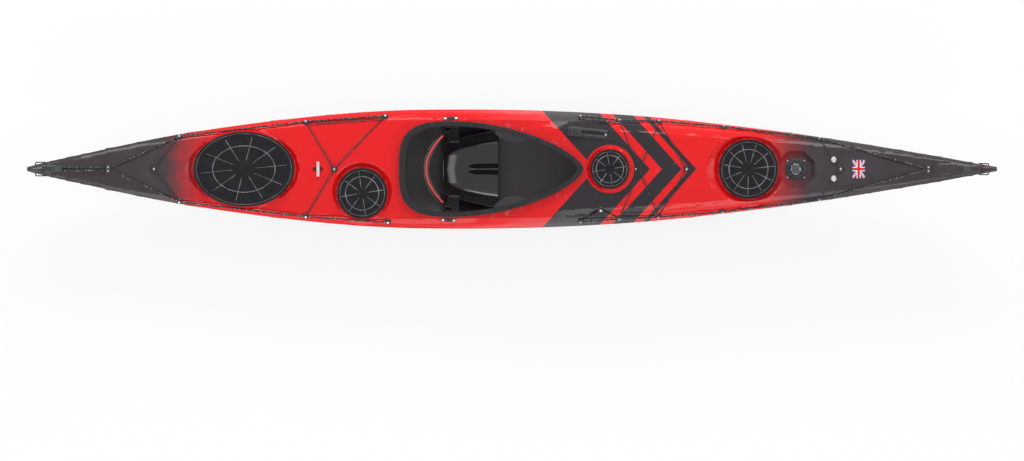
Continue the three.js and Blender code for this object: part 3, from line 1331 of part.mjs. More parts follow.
addPiece('seat', seat(), FINISH.gloss);
addPiece('backband', solid(backband()).add(backbandStrap(1)).add(backbandStrap(-1)), FINISH.fabric);
for (const [name, side] of [['port', 1], ['starboard', -1]]) {
  addPiece(`thigh_brace_${name}`, thighBrace(side), FINISH.gloss);
  addPiece(`foot_rail_${name}`, footRail(side), FINISH.plastic);
  addPiece(`foot_pedal_${name}`, footPedal(side), FINISH.plastic);
}
for (const [name, placeShare] of Object.entries(BULKHEAD_PLACE_SHARES)) {
  addPiece(`bulkhead_${name}`, bulkhead(placeShare, insides, cableCut), FINISH.carbon);
}

addPiece('skeg_box', cut(skegBox(), cableCut), FINISH.carbon);
addPiece('skeg_blade', skegBlade(), FINISH.blade);
const pin = rod(SKEG_PIN_RADIUS, SKEG_BOX_HALF * 2, ROUND_SEGMENTS, pivot.toArray(), 'y');
addPiece('skeg_pin', pin, FINISH.steel);
addPiece('skeg_cable_casing', cable(CABLE_RADIUS), FINISH.plastic);
addPiece('skeg_slider_track', sliderTrack(), FINISH.plastic);
addPiece('skeg_slider_knob', sliderKnob(), FINISH.plastic);
addPiece('security_bar', securityBar(), FINISH.steel);

for (const [name, toggle] of Object.entries(TOGGLES)) {
  addPiece(`${name}_toggle`, toggleGrip(toggle), FINISH.plastic);
  addPiece(`${name}_toggle_cord`, toggleCord(toggle), FINISH.cord);
}

addPiece('compass_housing', compassHousing(), FINISH.plastic);
addPiece('compass_card', compassCard(), FINISH.bead);
addPiece('compass_dome', compassDome(), FINISH.glass);

const ropes = ropeSolids(0);
const ropeCuts = Object.values(ropeSolids(GAP));
for (const [name, body] of Object.entries(ropes)) addPiece(name, body, FINISH.cord);
for (const [name, place] of Object.entries(FITTING_SHARES)) {
  addPiece(name, fitting(place, FITTING_HEIGHT, ropeCuts), FINISH.plastic);
}
for (const [name, place] of Object.entries(POST_SHARES)) {
  addPiece(name, fitting(place, POST_HEIGHT, ropeCuts), FINISH.plastic);
}
for (const [name, share] of Object.entries(BEAD_ALONG_SHARES)) {
  addPiece(name, bead(share, ropeSolids(GAP).bungee_bow), FINISH.bead);
}

export default kayak;
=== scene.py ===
"""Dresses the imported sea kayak: laminates, hatches, cockpit, skeg, compass and deck rigging.

Lengths are metres and angles radians. +X is the bow, +Y is port and +Z is up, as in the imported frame.
"""

import json
import logging
import math
from dataclasses import dataclass, field
from enum import Enum
from typing import Any, Sequence

import bmesh
import bpy
from bmesh.types import BMEdge, BMesh, BMFace, BMVert
from bpy.types import Material, Mesh, Node, NodeSocket, NodeTree, Object
from mathutils import Matrix, Vector
from mathutils.bvhtree import BVHTree

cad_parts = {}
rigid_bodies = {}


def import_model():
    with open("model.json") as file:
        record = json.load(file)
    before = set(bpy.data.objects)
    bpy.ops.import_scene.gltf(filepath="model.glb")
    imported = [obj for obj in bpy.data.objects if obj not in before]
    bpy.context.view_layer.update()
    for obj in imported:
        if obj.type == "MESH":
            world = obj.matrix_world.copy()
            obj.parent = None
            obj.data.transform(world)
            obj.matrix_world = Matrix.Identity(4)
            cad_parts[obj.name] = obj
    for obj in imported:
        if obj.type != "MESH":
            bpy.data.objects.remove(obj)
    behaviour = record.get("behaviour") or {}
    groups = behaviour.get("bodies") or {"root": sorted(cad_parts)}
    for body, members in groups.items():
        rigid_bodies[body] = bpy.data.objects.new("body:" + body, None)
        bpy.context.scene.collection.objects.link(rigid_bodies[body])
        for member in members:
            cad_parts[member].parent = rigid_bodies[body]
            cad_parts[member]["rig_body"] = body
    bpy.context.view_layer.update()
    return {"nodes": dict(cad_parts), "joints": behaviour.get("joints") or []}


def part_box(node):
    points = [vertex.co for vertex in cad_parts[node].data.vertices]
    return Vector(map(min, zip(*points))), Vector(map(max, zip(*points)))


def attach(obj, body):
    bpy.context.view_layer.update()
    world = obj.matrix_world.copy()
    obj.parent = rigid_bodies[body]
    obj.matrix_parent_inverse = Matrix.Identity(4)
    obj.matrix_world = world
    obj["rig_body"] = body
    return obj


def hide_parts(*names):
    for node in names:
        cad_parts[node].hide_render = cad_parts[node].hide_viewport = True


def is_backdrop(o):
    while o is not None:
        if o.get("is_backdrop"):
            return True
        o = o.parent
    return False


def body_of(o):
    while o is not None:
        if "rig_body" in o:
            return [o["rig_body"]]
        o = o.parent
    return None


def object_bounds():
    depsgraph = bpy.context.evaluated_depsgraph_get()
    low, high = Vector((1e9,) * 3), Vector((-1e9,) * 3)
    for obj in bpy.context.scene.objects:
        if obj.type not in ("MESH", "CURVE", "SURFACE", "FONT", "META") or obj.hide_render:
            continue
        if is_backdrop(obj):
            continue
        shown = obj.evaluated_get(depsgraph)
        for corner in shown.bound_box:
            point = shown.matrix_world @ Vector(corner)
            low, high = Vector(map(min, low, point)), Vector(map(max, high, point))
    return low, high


LOG = logging.getLogger("kayak")
# Points nearer to each other than this are one point
WELD = 0.00001
# Faces that meet at less than this are one face
FLAT = math.radians(1)
UP = Vector((0.0, 0.0, 1.0))
Pair = tuple[float, float]
Pairs = tuple[Pair, ...]
Triple = tuple[float, float, float]
# The attribute that holds how far along its cord a point lies
ALONG = "along"

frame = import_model()


class Side(Enum):
    """The two sides of the boat, as the sign of Y."""

    PORT = 1
    STARBOARD = -1


class CordKind(Enum):
    """The two kinds of deck cord, as (radius, height over a fitting's foot, height over the deck)."""

    LINE = (0.0038, 0.0082, 0.0044)
    BUNGEE = (0.0028, 0.0080, 0.0032)


# Helpers for colours, nodes and places


def linear(colour: str) -> tuple[float, float, float, float]:
    """Turns an sRGB hex colour into linear values.

    Args:
        colour: six hex digits after a hash sign.

    Returns:
        Red, green, blue and an alpha of 1.
    """
    shares = [int(colour[i:i + 2], 16) / 255 for i in (1, 3, 5)]
    red, green, blue = (
        share / 12.92 if share <= 0.04045 else ((share + 0.055) / 1.055) ** 2.4 for share in shares
    )
    return red, green, blue, 1.0


def add_node(
    tree: NodeTree, kind: str, inputs: dict[Any, Any] | None = None, **settings: Any
) -> Node:
    """Adds one node with its settings, its input values and its links.

    Args:
        tree: the material's or world's node tree.
        kind: Blender's name for the node.
        inputs: by name or number, a value or the output socket that feeds it.
        settings: the node's own attributes.

    Returns:
        The new node.
    """
    node = tree.nodes.new(kind)
    for name, value in settings.items():
        setattr(node, name, value)
    for name, value in (inputs or {}).items():
        if isinstance(value, NodeSocket):
            tree.links.new(value, node.inputs[name])
        else:
            node.inputs[name].default_value = value
    return node


def shown_rays(tree: NodeTree) -> NodeSocket:
    """Finds the rays that show the white background: to the eye, to gloss and through glass.

    Args:
        tree: the material's or world's node tree.

    Returns:
        A socket that is 1 for those rays and 0 for the rest.
    """
    light = add_node(tree, "ShaderNodeLightPath")
    shown = light.outputs["Is Camera Ray"]
    for ray in ("Is Glossy Ray", "Is Transmission Ray"):
        both = {0: shown, 1: light.outputs[ray]}
        shown = add_node(tree, "ShaderNodeMath", both, operation="MAXIMUM").outputs[0]
    return shown


def body_for(node: str) -> str:
    """Returns the name of the body that a CAD node rides on."""
    return body_of(frame["nodes"][node])[0]


def centre_of(node: str) -> Vector:
    """Returns the middle of a CAD node's box."""
    low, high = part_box(node)
    return (low + high) / 2


def joint_place(name: str) -> tuple[Vector, Vector]:
    """Returns the axis of a joint, as a point on it and its direction."""
    joint = next(j for j in frame["joints"] if j["name"] == name)
    return Vector(joint.get("pos_m", (0.0, 0.0, 0.0))), Vector(joint["axis"]).normalized()


def axes_at(origin: Vector, ahead: Vector, up: Vector) -> Matrix:
    """Builds a frame whose x axis runs ahead and whose z axis is up.

    Args:
        origin: where the frame stands.
        ahead: the rough direction of its x axis.
        up: the exact direction of its z axis.

    Returns:
        The frame as a matrix.
    """
    up = up.normalized()
    ahead = (ahead - up * ahead.dot(up)).normalized()
    aside = up.cross(ahead)
    turn = Matrix((ahead, aside, up)).transposed().to_4x4()
    return Matrix.Translation(origin) @ turn


def eased(share: float) -> float:
    """Returns a share from 0 to 1 with a soft start and end."""
    share = min(max(share, 0.0), 1.0)
    return share * share * (3 - 2 * share)


# Finishes


class Nodes:
    """A material's nodes: its shader, and the few kinds of node that the finishes are made of."""

    def __init__(self, material: Material) -> None:
        """Takes up the nodes of a new material."""
        self.tree = material.node_tree
        self.shader = self.tree.nodes["Principled BSDF"]

    def set(self, name: str, value: Any) -> None:
        """Sets one of the shader's sockets, or links one to it.

        Args:
            name: the shader's socket.
            value: its value, or the socket that gives it.
        """
        if isinstance(value, NodeSocket):
            self.tree.links.new(value, self.shader.inputs[name])
        else:
            self.shader.inputs[name].default_value = value

    def place(self) -> NodeSocket:
        """Returns the socket that gives a point's place on the boat."""
        return add_node(self.tree, "ShaderNodeTexCoord").outputs["Object"]

    def apart(self, place: NodeSocket) -> Sequence[NodeSocket]:
        """Returns the three measures of a place."""
        return add_node(self.tree, "ShaderNodeSeparateXYZ", {0: place}).outputs

    def noise(self, grain: float, detail: float = 3.0) -> NodeSocket:
        """Returns a cloudy value whose patches are about one grain across."""
        inputs = {"Vector": self.place(), "Scale": 1 / grain, "Detail": detail}
        return add_node(self.tree, "ShaderNodeTexNoise", inputs).outputs["Fac"]

    def check(self, thread: float) -> NodeSocket:
        """Returns a value that changes from thread to thread of a cloth."""
        inputs = {"Vector": self.place(), "Scale": 1 / thread}
        return add_node(self.tree, "ShaderNodeTexChecker", inputs).outputs["Fac"]

    def mixed(self, share: NodeSocket, first: Any, second: Any) -> NodeSocket:
        """Mixes two colours.

        Args:
            share: the socket with the second colour's share.
            first: a hex colour or a colour socket.
            second: a hex colour or a colour socket.

        Returns:
            The mixed colour's socket.
        """
        ends = [linear(end) if isinstance(end, str) else end for end in (first, second)]
        inputs = {0: share, 6: ends[0], 7: ends[1]}
        return add_node(self.tree, "ShaderNodeMix", inputs, data_type="RGBA").outputs[2]

    def math(self, operation: str, first: Any, second: Any = 0.0, third: Any = 0.0) -> NodeSocket:
        """Returns the result of one sum of up to three values or sockets."""
        inputs = {0: first, 1: second, 2: third}
        return add_node(self.tree, "ShaderNodeMath", inputs, operation=operation).outputs[0]

    def ramp(
        self, value: NodeSocket, start: float, end: float, low: float = 0.0, high: float = 1.0
    ) -> NodeSocket:
        """Eases a value from low to high.

        Args:
            value: the socket that is read.
            start: where the rise starts.
            end: where it ends.
            low: the result before the start.
            high: the result after the end.

        Returns:
            The eased value's socket.
        """
        inputs = {"Value": value, 1: start, 2: end, 3: low, 4: high}
        settings = {"interpolation_type": "SMOOTHSTEP"}
        return add_node(self.tree, "ShaderNodeMapRange", inputs, **settings).outputs[0]

    def raise_by(self, height: NodeSocket, depth: float) -> None:
        """Gives the shader a relief of a stated depth in metres."""
        bump = add_node(self.tree, "ShaderNodeBump", {"Height": height, "Distance": depth})
        self.set("Normal", bump.outputs["Normal"])


@dataclass(frozen=True)
class Finish:
    """One real finish: its material's name, its record slot and what its shader starts from."""

    name: str
    slot: str
    colour: str
    roughness: float
    metallic: float = 0.0
    ior: float = 1.5
    coat: float = 0.0
    coat_roughness: float = 0.04

    def material(self) -> Material:
        """Makes the finish's material the first time it is asked for.

        Returns:
            The material.
        """
        found = bpy.data.materials.get(self.name)
        if found:
            return found
        material = bpy.data.materials.new(self.name)
        material.use_nodes = True
        nodes = Nodes(material)
        nodes.set("Base Color", linear(self.colour))
        nodes.set("Roughness", self.roughness)
        nodes.set("Metallic", self.metallic)
        nodes.set("IOR", self.ior)
        nodes.set("Coat Weight", self.coat)
        nodes.set("Coat Roughness", self.coat_roughness)
        self.dress(nodes)
        return material

    def dress(self, nodes: Nodes) -> None:
        """Adds what the finish shows beyond its plain colour."""


@dataclass(frozen=True)
class Laminate(Finish):
    """Woven glass and carbon laminate: the cloth shows as a fine check of two greys."""

    light: str = "#4a4547"
    dark: str = "#322e30"
    # Coarser than the real threads of about 2 mm, which would blur into one grey from a step away
    thread: float = 0.006
    contrast: float = 0.55
    cloud_threads: float = 20.0
    cloud_middle: float = 0.28
    relief: float = 0.0002

    def cloth(self, nodes: Nodes) -> NodeSocket:
        """Colours the cloth, a check of threads with slow changes of tone.

        Args:
            nodes: the material's nodes.

        Returns:
            The colour's socket.
        """
        cloud = nodes.noise(self.thread * self.cloud_threads)
        share = nodes.math("MULTIPLY_ADD", nodes.check(self.thread), self.contrast, cloud)
        centred = nodes.math("SUBTRACT", share, self.cloud_middle)
        return nodes.mixed(centred, self.dark, self.light)

    def dress(self, nodes: Nodes) -> None:
        """Colours the shader with the cloth and gives it the relief of its threads."""
        nodes.set("Base Color", self.cloth(nodes))
        nodes.raise_by(nodes.noise(self.thread), self.relief)


@dataclass(frozen=True)
class DeckLaminate(Laminate):
    """The deck: red gelcoat amidships that fades into clear-coated cloth, with grey chevrons."""

    stern_fade: Pair = (-1.79, -1.49)
    bow_fade: Pair = (1.17, 1.54)
    fade_grain: float = 0.09
    fade_detail: float = 5.0
    fade_shift: float = 0.12
    chevron_slope: float = 0.9
    chevrons: Pairs = ((0.42, 0.70), (0.76, 0.86), (0.905, 0.935))
    chevron_colour: str = "#2d282d"
    chevron_edge: float = 0.002
    ring_centre: Triple = (0.497, 0.0, 0.0)
    ring: float = 0.122
    ripple_grain: float = 0.03
    ripple: float = 0.0001

    def dress(self, nodes: Nodes) -> None:
        """Lays the red over the cloth, then the chevrons over the red.

        Args:
            nodes: the material's nodes.
        """
        along, across, _ = nodes.apart(nodes.place())
        cloud = nodes.math("SUBTRACT", nodes.noise(self.fade_grain, self.fade_detail), 0.5)
        shifted = nodes.math("MULTIPLY_ADD", cloud, self.fade_shift, along)
        from_stern = nodes.ramp(shifted, *self.stern_fade)
        to_bow = nodes.ramp(shifted, *self.bow_fade, low=1.0, high=0.0)
        share = nodes.math("MULTIPLY", from_stern, to_bow)
        base = nodes.mixed(share, self.cloth(nodes), self.colour)
        aside = nodes.math("ABSOLUTE", across)
        slanted = nodes.math("MULTIPLY_ADD", aside, self.chevron_slope, along)
        for start, end in self.chevrons:
            enters = nodes.ramp(slanted, start, start + self.chevron_edge)
            leaves = nodes.ramp(slanted, end, end + self.chevron_edge, low=1.0, high=0.0)
            band = nodes.math("MULTIPLY", enters, leaves)
            base = nodes.mixed(band, base, self.chevron_colour)
        flat = add_node(nodes.tree, "ShaderNodeCombineXYZ", {0: along, 1: across}).outputs[0]
        ends = {0: flat, 1: self.ring_centre}
        gap = add_node(nodes.tree, "ShaderNodeVectorMath", ends, operation="DISTANCE").outputs["Value"]
        round_lid = nodes.ramp(gap, self.ring, self.ring + self.chevron_edge, low=1.0, high=0.0)
        base = nodes.mixed(round_lid, base, self.colour)
        nodes.set("Base Color", base)
        nodes.raise_by(nodes.noise(self.ripple_grain), self.ripple)


@dataclass(frozen=True)
class Gelcoat(Finish):
    """Sprayed and polished gelcoat: one colour with a faint cloudiness and a slight ripple."""

    shade: str = "#141316"
    cloud_grain: float = 0.15
    cloud_detail: float = 4.0
    ripple_grain: float = 0.03
    ripple: float = 0.0001

    def dress(self, nodes: Nodes) -> None:
        """Clouds the colour and ripples the coat.

        Args:
            nodes: the material's nodes.
        """
        cloud = nodes.noise(self.cloud_grain, self.cloud_detail)
        nodes.set("Base Color", nodes.mixed(cloud, self.colour, self.shade))
        nodes.raise_by(nodes.noise(self.ripple_grain), self.ripple)


@dataclass(frozen=True)
class Moulded(Finish):
    """Moulded rubber or plastic: a fine spark-eroded grain with slightly paler patches: rubbed wear, and on
    the lids' pale rib finish a painted highlight.
    """

    # The patches' colour: rubbed wear, and on the rib finish part of its painted highlight
    wear_and_highlight: str = "#2c2b2f"
    grain: float = 0.0015
    depth: float = 0.0001
    patch: float = 0.04
    patch_detail: float = 6.0
    patch_span: Pair = (0.35, 0.75)
    gloss_change: float = 0.07

    def dress(self, nodes: Nodes) -> None:
        """Adds the grain, the rubbed patches and the uneven gloss.

        Args:
            nodes: the material's nodes.
        """
        patches = nodes.ramp(nodes.noise(self.patch, self.patch_detail), *self.patch_span)
        nodes.set("Base Color", nodes.mixed(patches, self.colour, self.wear_and_highlight))
        smooth, rough = self.roughness - self.gloss_change, self.roughness + self.gloss_change
        nodes.set("Roughness", nodes.ramp(patches, 0.0, 1.0, smooth, rough))
        nodes.raise_by(nodes.noise(self.grain), self.depth)


@dataclass(frozen=True)
class Woven(Finish):
    """Woven nylon: a check of threads in relief, with a soft sheen."""

    # Coarser than real threads of under 1 mm, so that the weave can still be told in a close view
    thread: float = 0.0025
    pale: str = "#39353a"
    fuzz_threads: float = 3.0
    fuzz_detail: float = 4.0
    sheen: float = 0.25
    sheen_roughness: float = 0.5
    relief: float = 0.0004

    def dress(self, nodes: Nodes) -> None:
        """Adds the threads' two tones, their relief and the sheen.

        Args:
            nodes: the material's nodes.
        """
        fuzz = nodes.noise(self.thread * self.fuzz_threads, self.fuzz_detail)
        share = nodes.math("MULTIPLY", nodes.check(self.thread), fuzz)
        nodes.set("Base Color", nodes.mixed(share, self.colour, self.pale))
        nodes.set("Sheen Weight", self.sheen)
        nodes.set("Sheen Roughness", self.sheen_roughness)
        nodes.raise_by(share, self.relief)


@dataclass(frozen=True)
class Braided(Finish):
    """Braided cord: slanting strands along its length, with pale flecks in some of them."""

    fleck: str = "#a9a9ab"
    strand: float = 0.012
    cloud_grain: float = 0.012
    strand_span: Pair = (0.5, 0.9)
    cloud_span: Pair = (0.5, 0.6)
    relief: float = 0.0004

    def dress(self, nodes: Nodes) -> None:
        """Adds the flecks and the strands' relief, both along the cord.

        Args:
            nodes: the material's nodes.
        """
        length = add_node(nodes.tree, "ShaderNodeAttribute", attribute_name=ALONG).outputs["Fac"]
        wave = nodes.math("SINE", nodes.math("MULTIPLY", length, math.tau / self.strand))
        cloud = nodes.noise(self.cloud_grain, 1.0)
        strands, patches = nodes.ramp(wave, *self.strand_span), nodes.ramp(cloud, *self.cloud_span)
        lit = nodes.math("MULTIPLY", strands, patches)
        nodes.set("Base Color", nodes.mixed(lit, self.colour, self.fleck))
        nodes.raise_by(wave, self.relief)


@dataclass(frozen=True)
class Metal(Finish):
    """Polished stainless steel: fine wiping marks in its gloss."""

    grain: float = 0.004
    mark_span: Pair = (0.3, 0.7)
    gloss_change: float = 0.08

    def dress(self, nodes: Nodes) -> None:
        """Varies the gloss.

        Args:
            nodes: the material's nodes.
        """
        cloud = nodes.noise(self.grain, detail=5.0)
        smooth, rough = self.roughness - self.gloss_change, self.roughness + self.gloss_change
        nodes.set("Roughness", nodes.ramp(cloud, *self.mark_span, smooth, rough))


@dataclass(frozen=True)
class Flag(Finish):
    """Printed film: a blue field with an upright cross over slanting ones, white edged."""

    centre: Triple = (1.7605, 0.0, 0.0)
    halves: Pair = (0.0315, 0.0465)
    white: str = "#ececee"
    red: str = "#cf1226"
    cross: float = 0.0062
    cross_edge: float = 0.0104
    slant: float = 0.0022
    slant_edge: float = 0.0062
    blur: float = 0.0006

    def dress(self, nodes: Nodes) -> None:
        """Lays the slanting crosses, then the upright ones, over the field.

        Args:
            nodes: the material's nodes.
        """
        inputs = {"Vector": nodes.place(), "Location": self.centre}
        centred = add_node(nodes.tree, "ShaderNodeMapping", inputs, vector_type="TEXTURE").outputs[0]
        along, across = (nodes.math("ABSOLUTE", measure) for measure in nodes.apart(centred)[:2])
        level = nodes.math("MULTIPLY", across, self.halves[0] / self.halves[1])
        slanted = nodes.math("ABSOLUTE", nodes.math("SUBTRACT", level, along))
        upright = nodes.math("MINIMUM", along, across)
        base: Any = self.colour
        for distance, width, colour in (
            (slanted, self.slant_edge, self.white), (slanted, self.slant, self.red),
            (upright, self.cross_edge, self.white), (upright, self.cross, self.red),
        ):
            share = nodes.ramp(distance, width, width + self.blur, low=1.0, high=0.0)
            base = nodes.mixed(share, base, colour)
        nodes.set("Base Color", base)


@dataclass(frozen=True)
class Clear(Finish):
    """Clear acrylic: a smooth dome that shows the card under it."""

    def dress(self, nodes: Nodes) -> None:
        """Lets the light through."""
        nodes.set("Transmission Weight", 1.0)


@dataclass(frozen=True)
class Backdrop(Finish):
    """White paper that looks white to the eye, to gloss and through glass, and keeps a soft shadow."""

    glow: float = 0.75

    def dress(self, nodes: Nodes) -> None:
        """Mixes white light into the paper for the rays that show it.

        Args:
            nodes: the material's nodes.
        """
        share = nodes.math("MULTIPLY", shown_rays(nodes.tree), self.glow)
        white = add_node(nodes.tree, "ShaderNodeEmission", {"Color": linear("#ffffff"), "Strength": 1.0})
        both = {0: share, 1: nodes.shader.outputs[0], 2: white.outputs[0]}
        mixed = add_node(nodes.tree, "ShaderNodeMixShader", both)
        nodes.tree.links.new(mixed.outputs[0], nodes.tree.nodes["Material Output"].inputs["Surface"])


# Polished gelcoat over cloth: a wet-looking red that fades into the grey weave at both ends
DECK = DeckLaminate(
    "deck_gelcoat_red", "deck_laminate", "#e3161a", 0.12, ior=1.33, light="#4a4347", dark="#302b2f",
)
# Sprayed black gelcoat: a dark, smooth side with long soft glints
HULL = Gelcoat("hull_gelcoat_black", "hull_laminate", "#18171a", 0.2, ior=1.38)
# Red gelcoat brushed over the joining strip: a bright line along the whole sheer
BAND = Gelcoat("seam_gelcoat_red", "seam_band", "#c0161b", 0.14, ior=1.38, shade="#ad1419")
# Bare laminate inside: a dull brownish weave that reads as depth in the cockpit
INSIDE = Laminate(
    "inside_laminate_woven", "bulkhead_laminate", "#322c2c", 0.5, coat=0.25, coat_roughness=0.3,
    light="#423b3a", dark="#2a2424", thread=0.009,
)
# Rubber pressed in a satin mould: a deep black disc that takes hardly any glare
RUBBER = Moulded(
    "lid_rubber_satin", "hatch_rubber", "#131215", 0.36, ior=1.3, wear_and_highlight="#18171a", depth=0.00003,
)
# Pale rubber on the ribs, the ring and the rim's edge line: a painted highlight that stands for glints on
# the dark lids, with a smoother gloss
RIB_HIGHLIGHT = Moulded("rib_rubber_rubbed", "hatch_rubber", "#59585c", 0.25, wear_and_highlight="#8a898d", depth=0.00003)
# Black nylon with a moulded grain: small parts that stay dark beside their bright bolts
PLASTIC = Moulded("fitting_nylon_moulded", "moulded_plastic", "#1a191b", 0.4)
# Laminate under satin paint: a dark rim whose rounded edge shows as one soft line
COAMING = Moulded(
    "coaming_laminate_satin", "moulded_plastic", "#242326", 0.27, ior=1.35, wear_and_highlight="#272629", depth=0.00002,
)
# Glossy laminate straight from its mould: curved reflections that show the seat's hollows
SEAT = Laminate(
    "seat_laminate_gloss", "gloss_plastic", "#262427", 0.14, light="#2d2a2d", dark="#232023", thread=0.008,
)
# Planed polyethylene: a flat black blade, duller than the hull round it
BLADE = Moulded("blade_polyethylene_planed", "blade_plastic", "#151416", 0.45)
# Nylon cover over foam: a matt grey cloth with a faint sheen on its crown
PAD = Woven("backband_nylon_woven", "backband_fabric", "#1f1c1e", 0.85)
# Nylon webbing: a coarser weave than the pad's, so a strap reads as a strap
WEBBING = Woven("strap_nylon_webbing", "backband_fabric", "#19171a", 0.8, thread=0.0035)
# Red nylon piping: the one bright curve in the dark cockpit
PIPING = Woven("piping_nylon_red", "backband_fabric", "#e2302a", 0.6, thread=0.002, pale="#f04a3c")
# Braided polyester: a black line with pale flecks that follow its twist
LINE = Braided("deck_line_polyester_braided", "black_cord", "#1b1a1c", 0.7)
# Elastic in a braided cover: thinner and plainer than the line beside it
BUNGEE = Braided("bungee_cover_braided", "black_cord", "#1e1d1f", 0.7, fleck="#5c5c5e", strand=0.008)
# Polished stainless steel: bright points and bars against red and black
STEEL = Metal("bolt_steel_polished", "stainless_steel", "#cfcfd2", 0.25, metallic=1.0)
# Turned off-white nylon: two pale balls with a soft highlight
BALL = Moulded("ball_nylon_offwhite", "pale_plastic", "#d6d6d8", 0.4, wear_and_highlight="#c2c2c6")
# Printed vinyl film: flat clean colours with crisp edges and a slight gloss
FLAG = Flag("flag_vinyl_printed", "deck_laminate", "#1f2f6e", 0.25)
# Black plastic card: a dark dial under the dome
CARD = Moulded("card_plastic_black", "pale_plastic", "#1c1c1e", 0.5, wear_and_highlight="#242427")
# White print on the card: fine marks that catch the eye through the dome
PRINT = Moulded("card_print_white", "pale_plastic", "#b9b9b6", 0.5, wear_and_highlight="#adada9")
# Blown clear acrylic: a small bright dome that bends the card below it
DOME = Clear("dome_acrylic_clear", "compass_glass", "#f2f4f4", 0.03, ior=1.49)


# Shapes


def turn_round(part: BMesh, outline: Sequence[BMVert | BMEdge], steps: int) -> None:
    """Turns an outline about the z axis.

    Args:
        part: the form that holds the outline.
        outline: its points and edges.
        steps: how many facets go round.
    """
    bmesh.ops.spin(
        part, geom=outline, cent=(0, 0, 0), axis=(0, 0, 1), angle=math.tau, steps=steps, use_merge=True,
    )


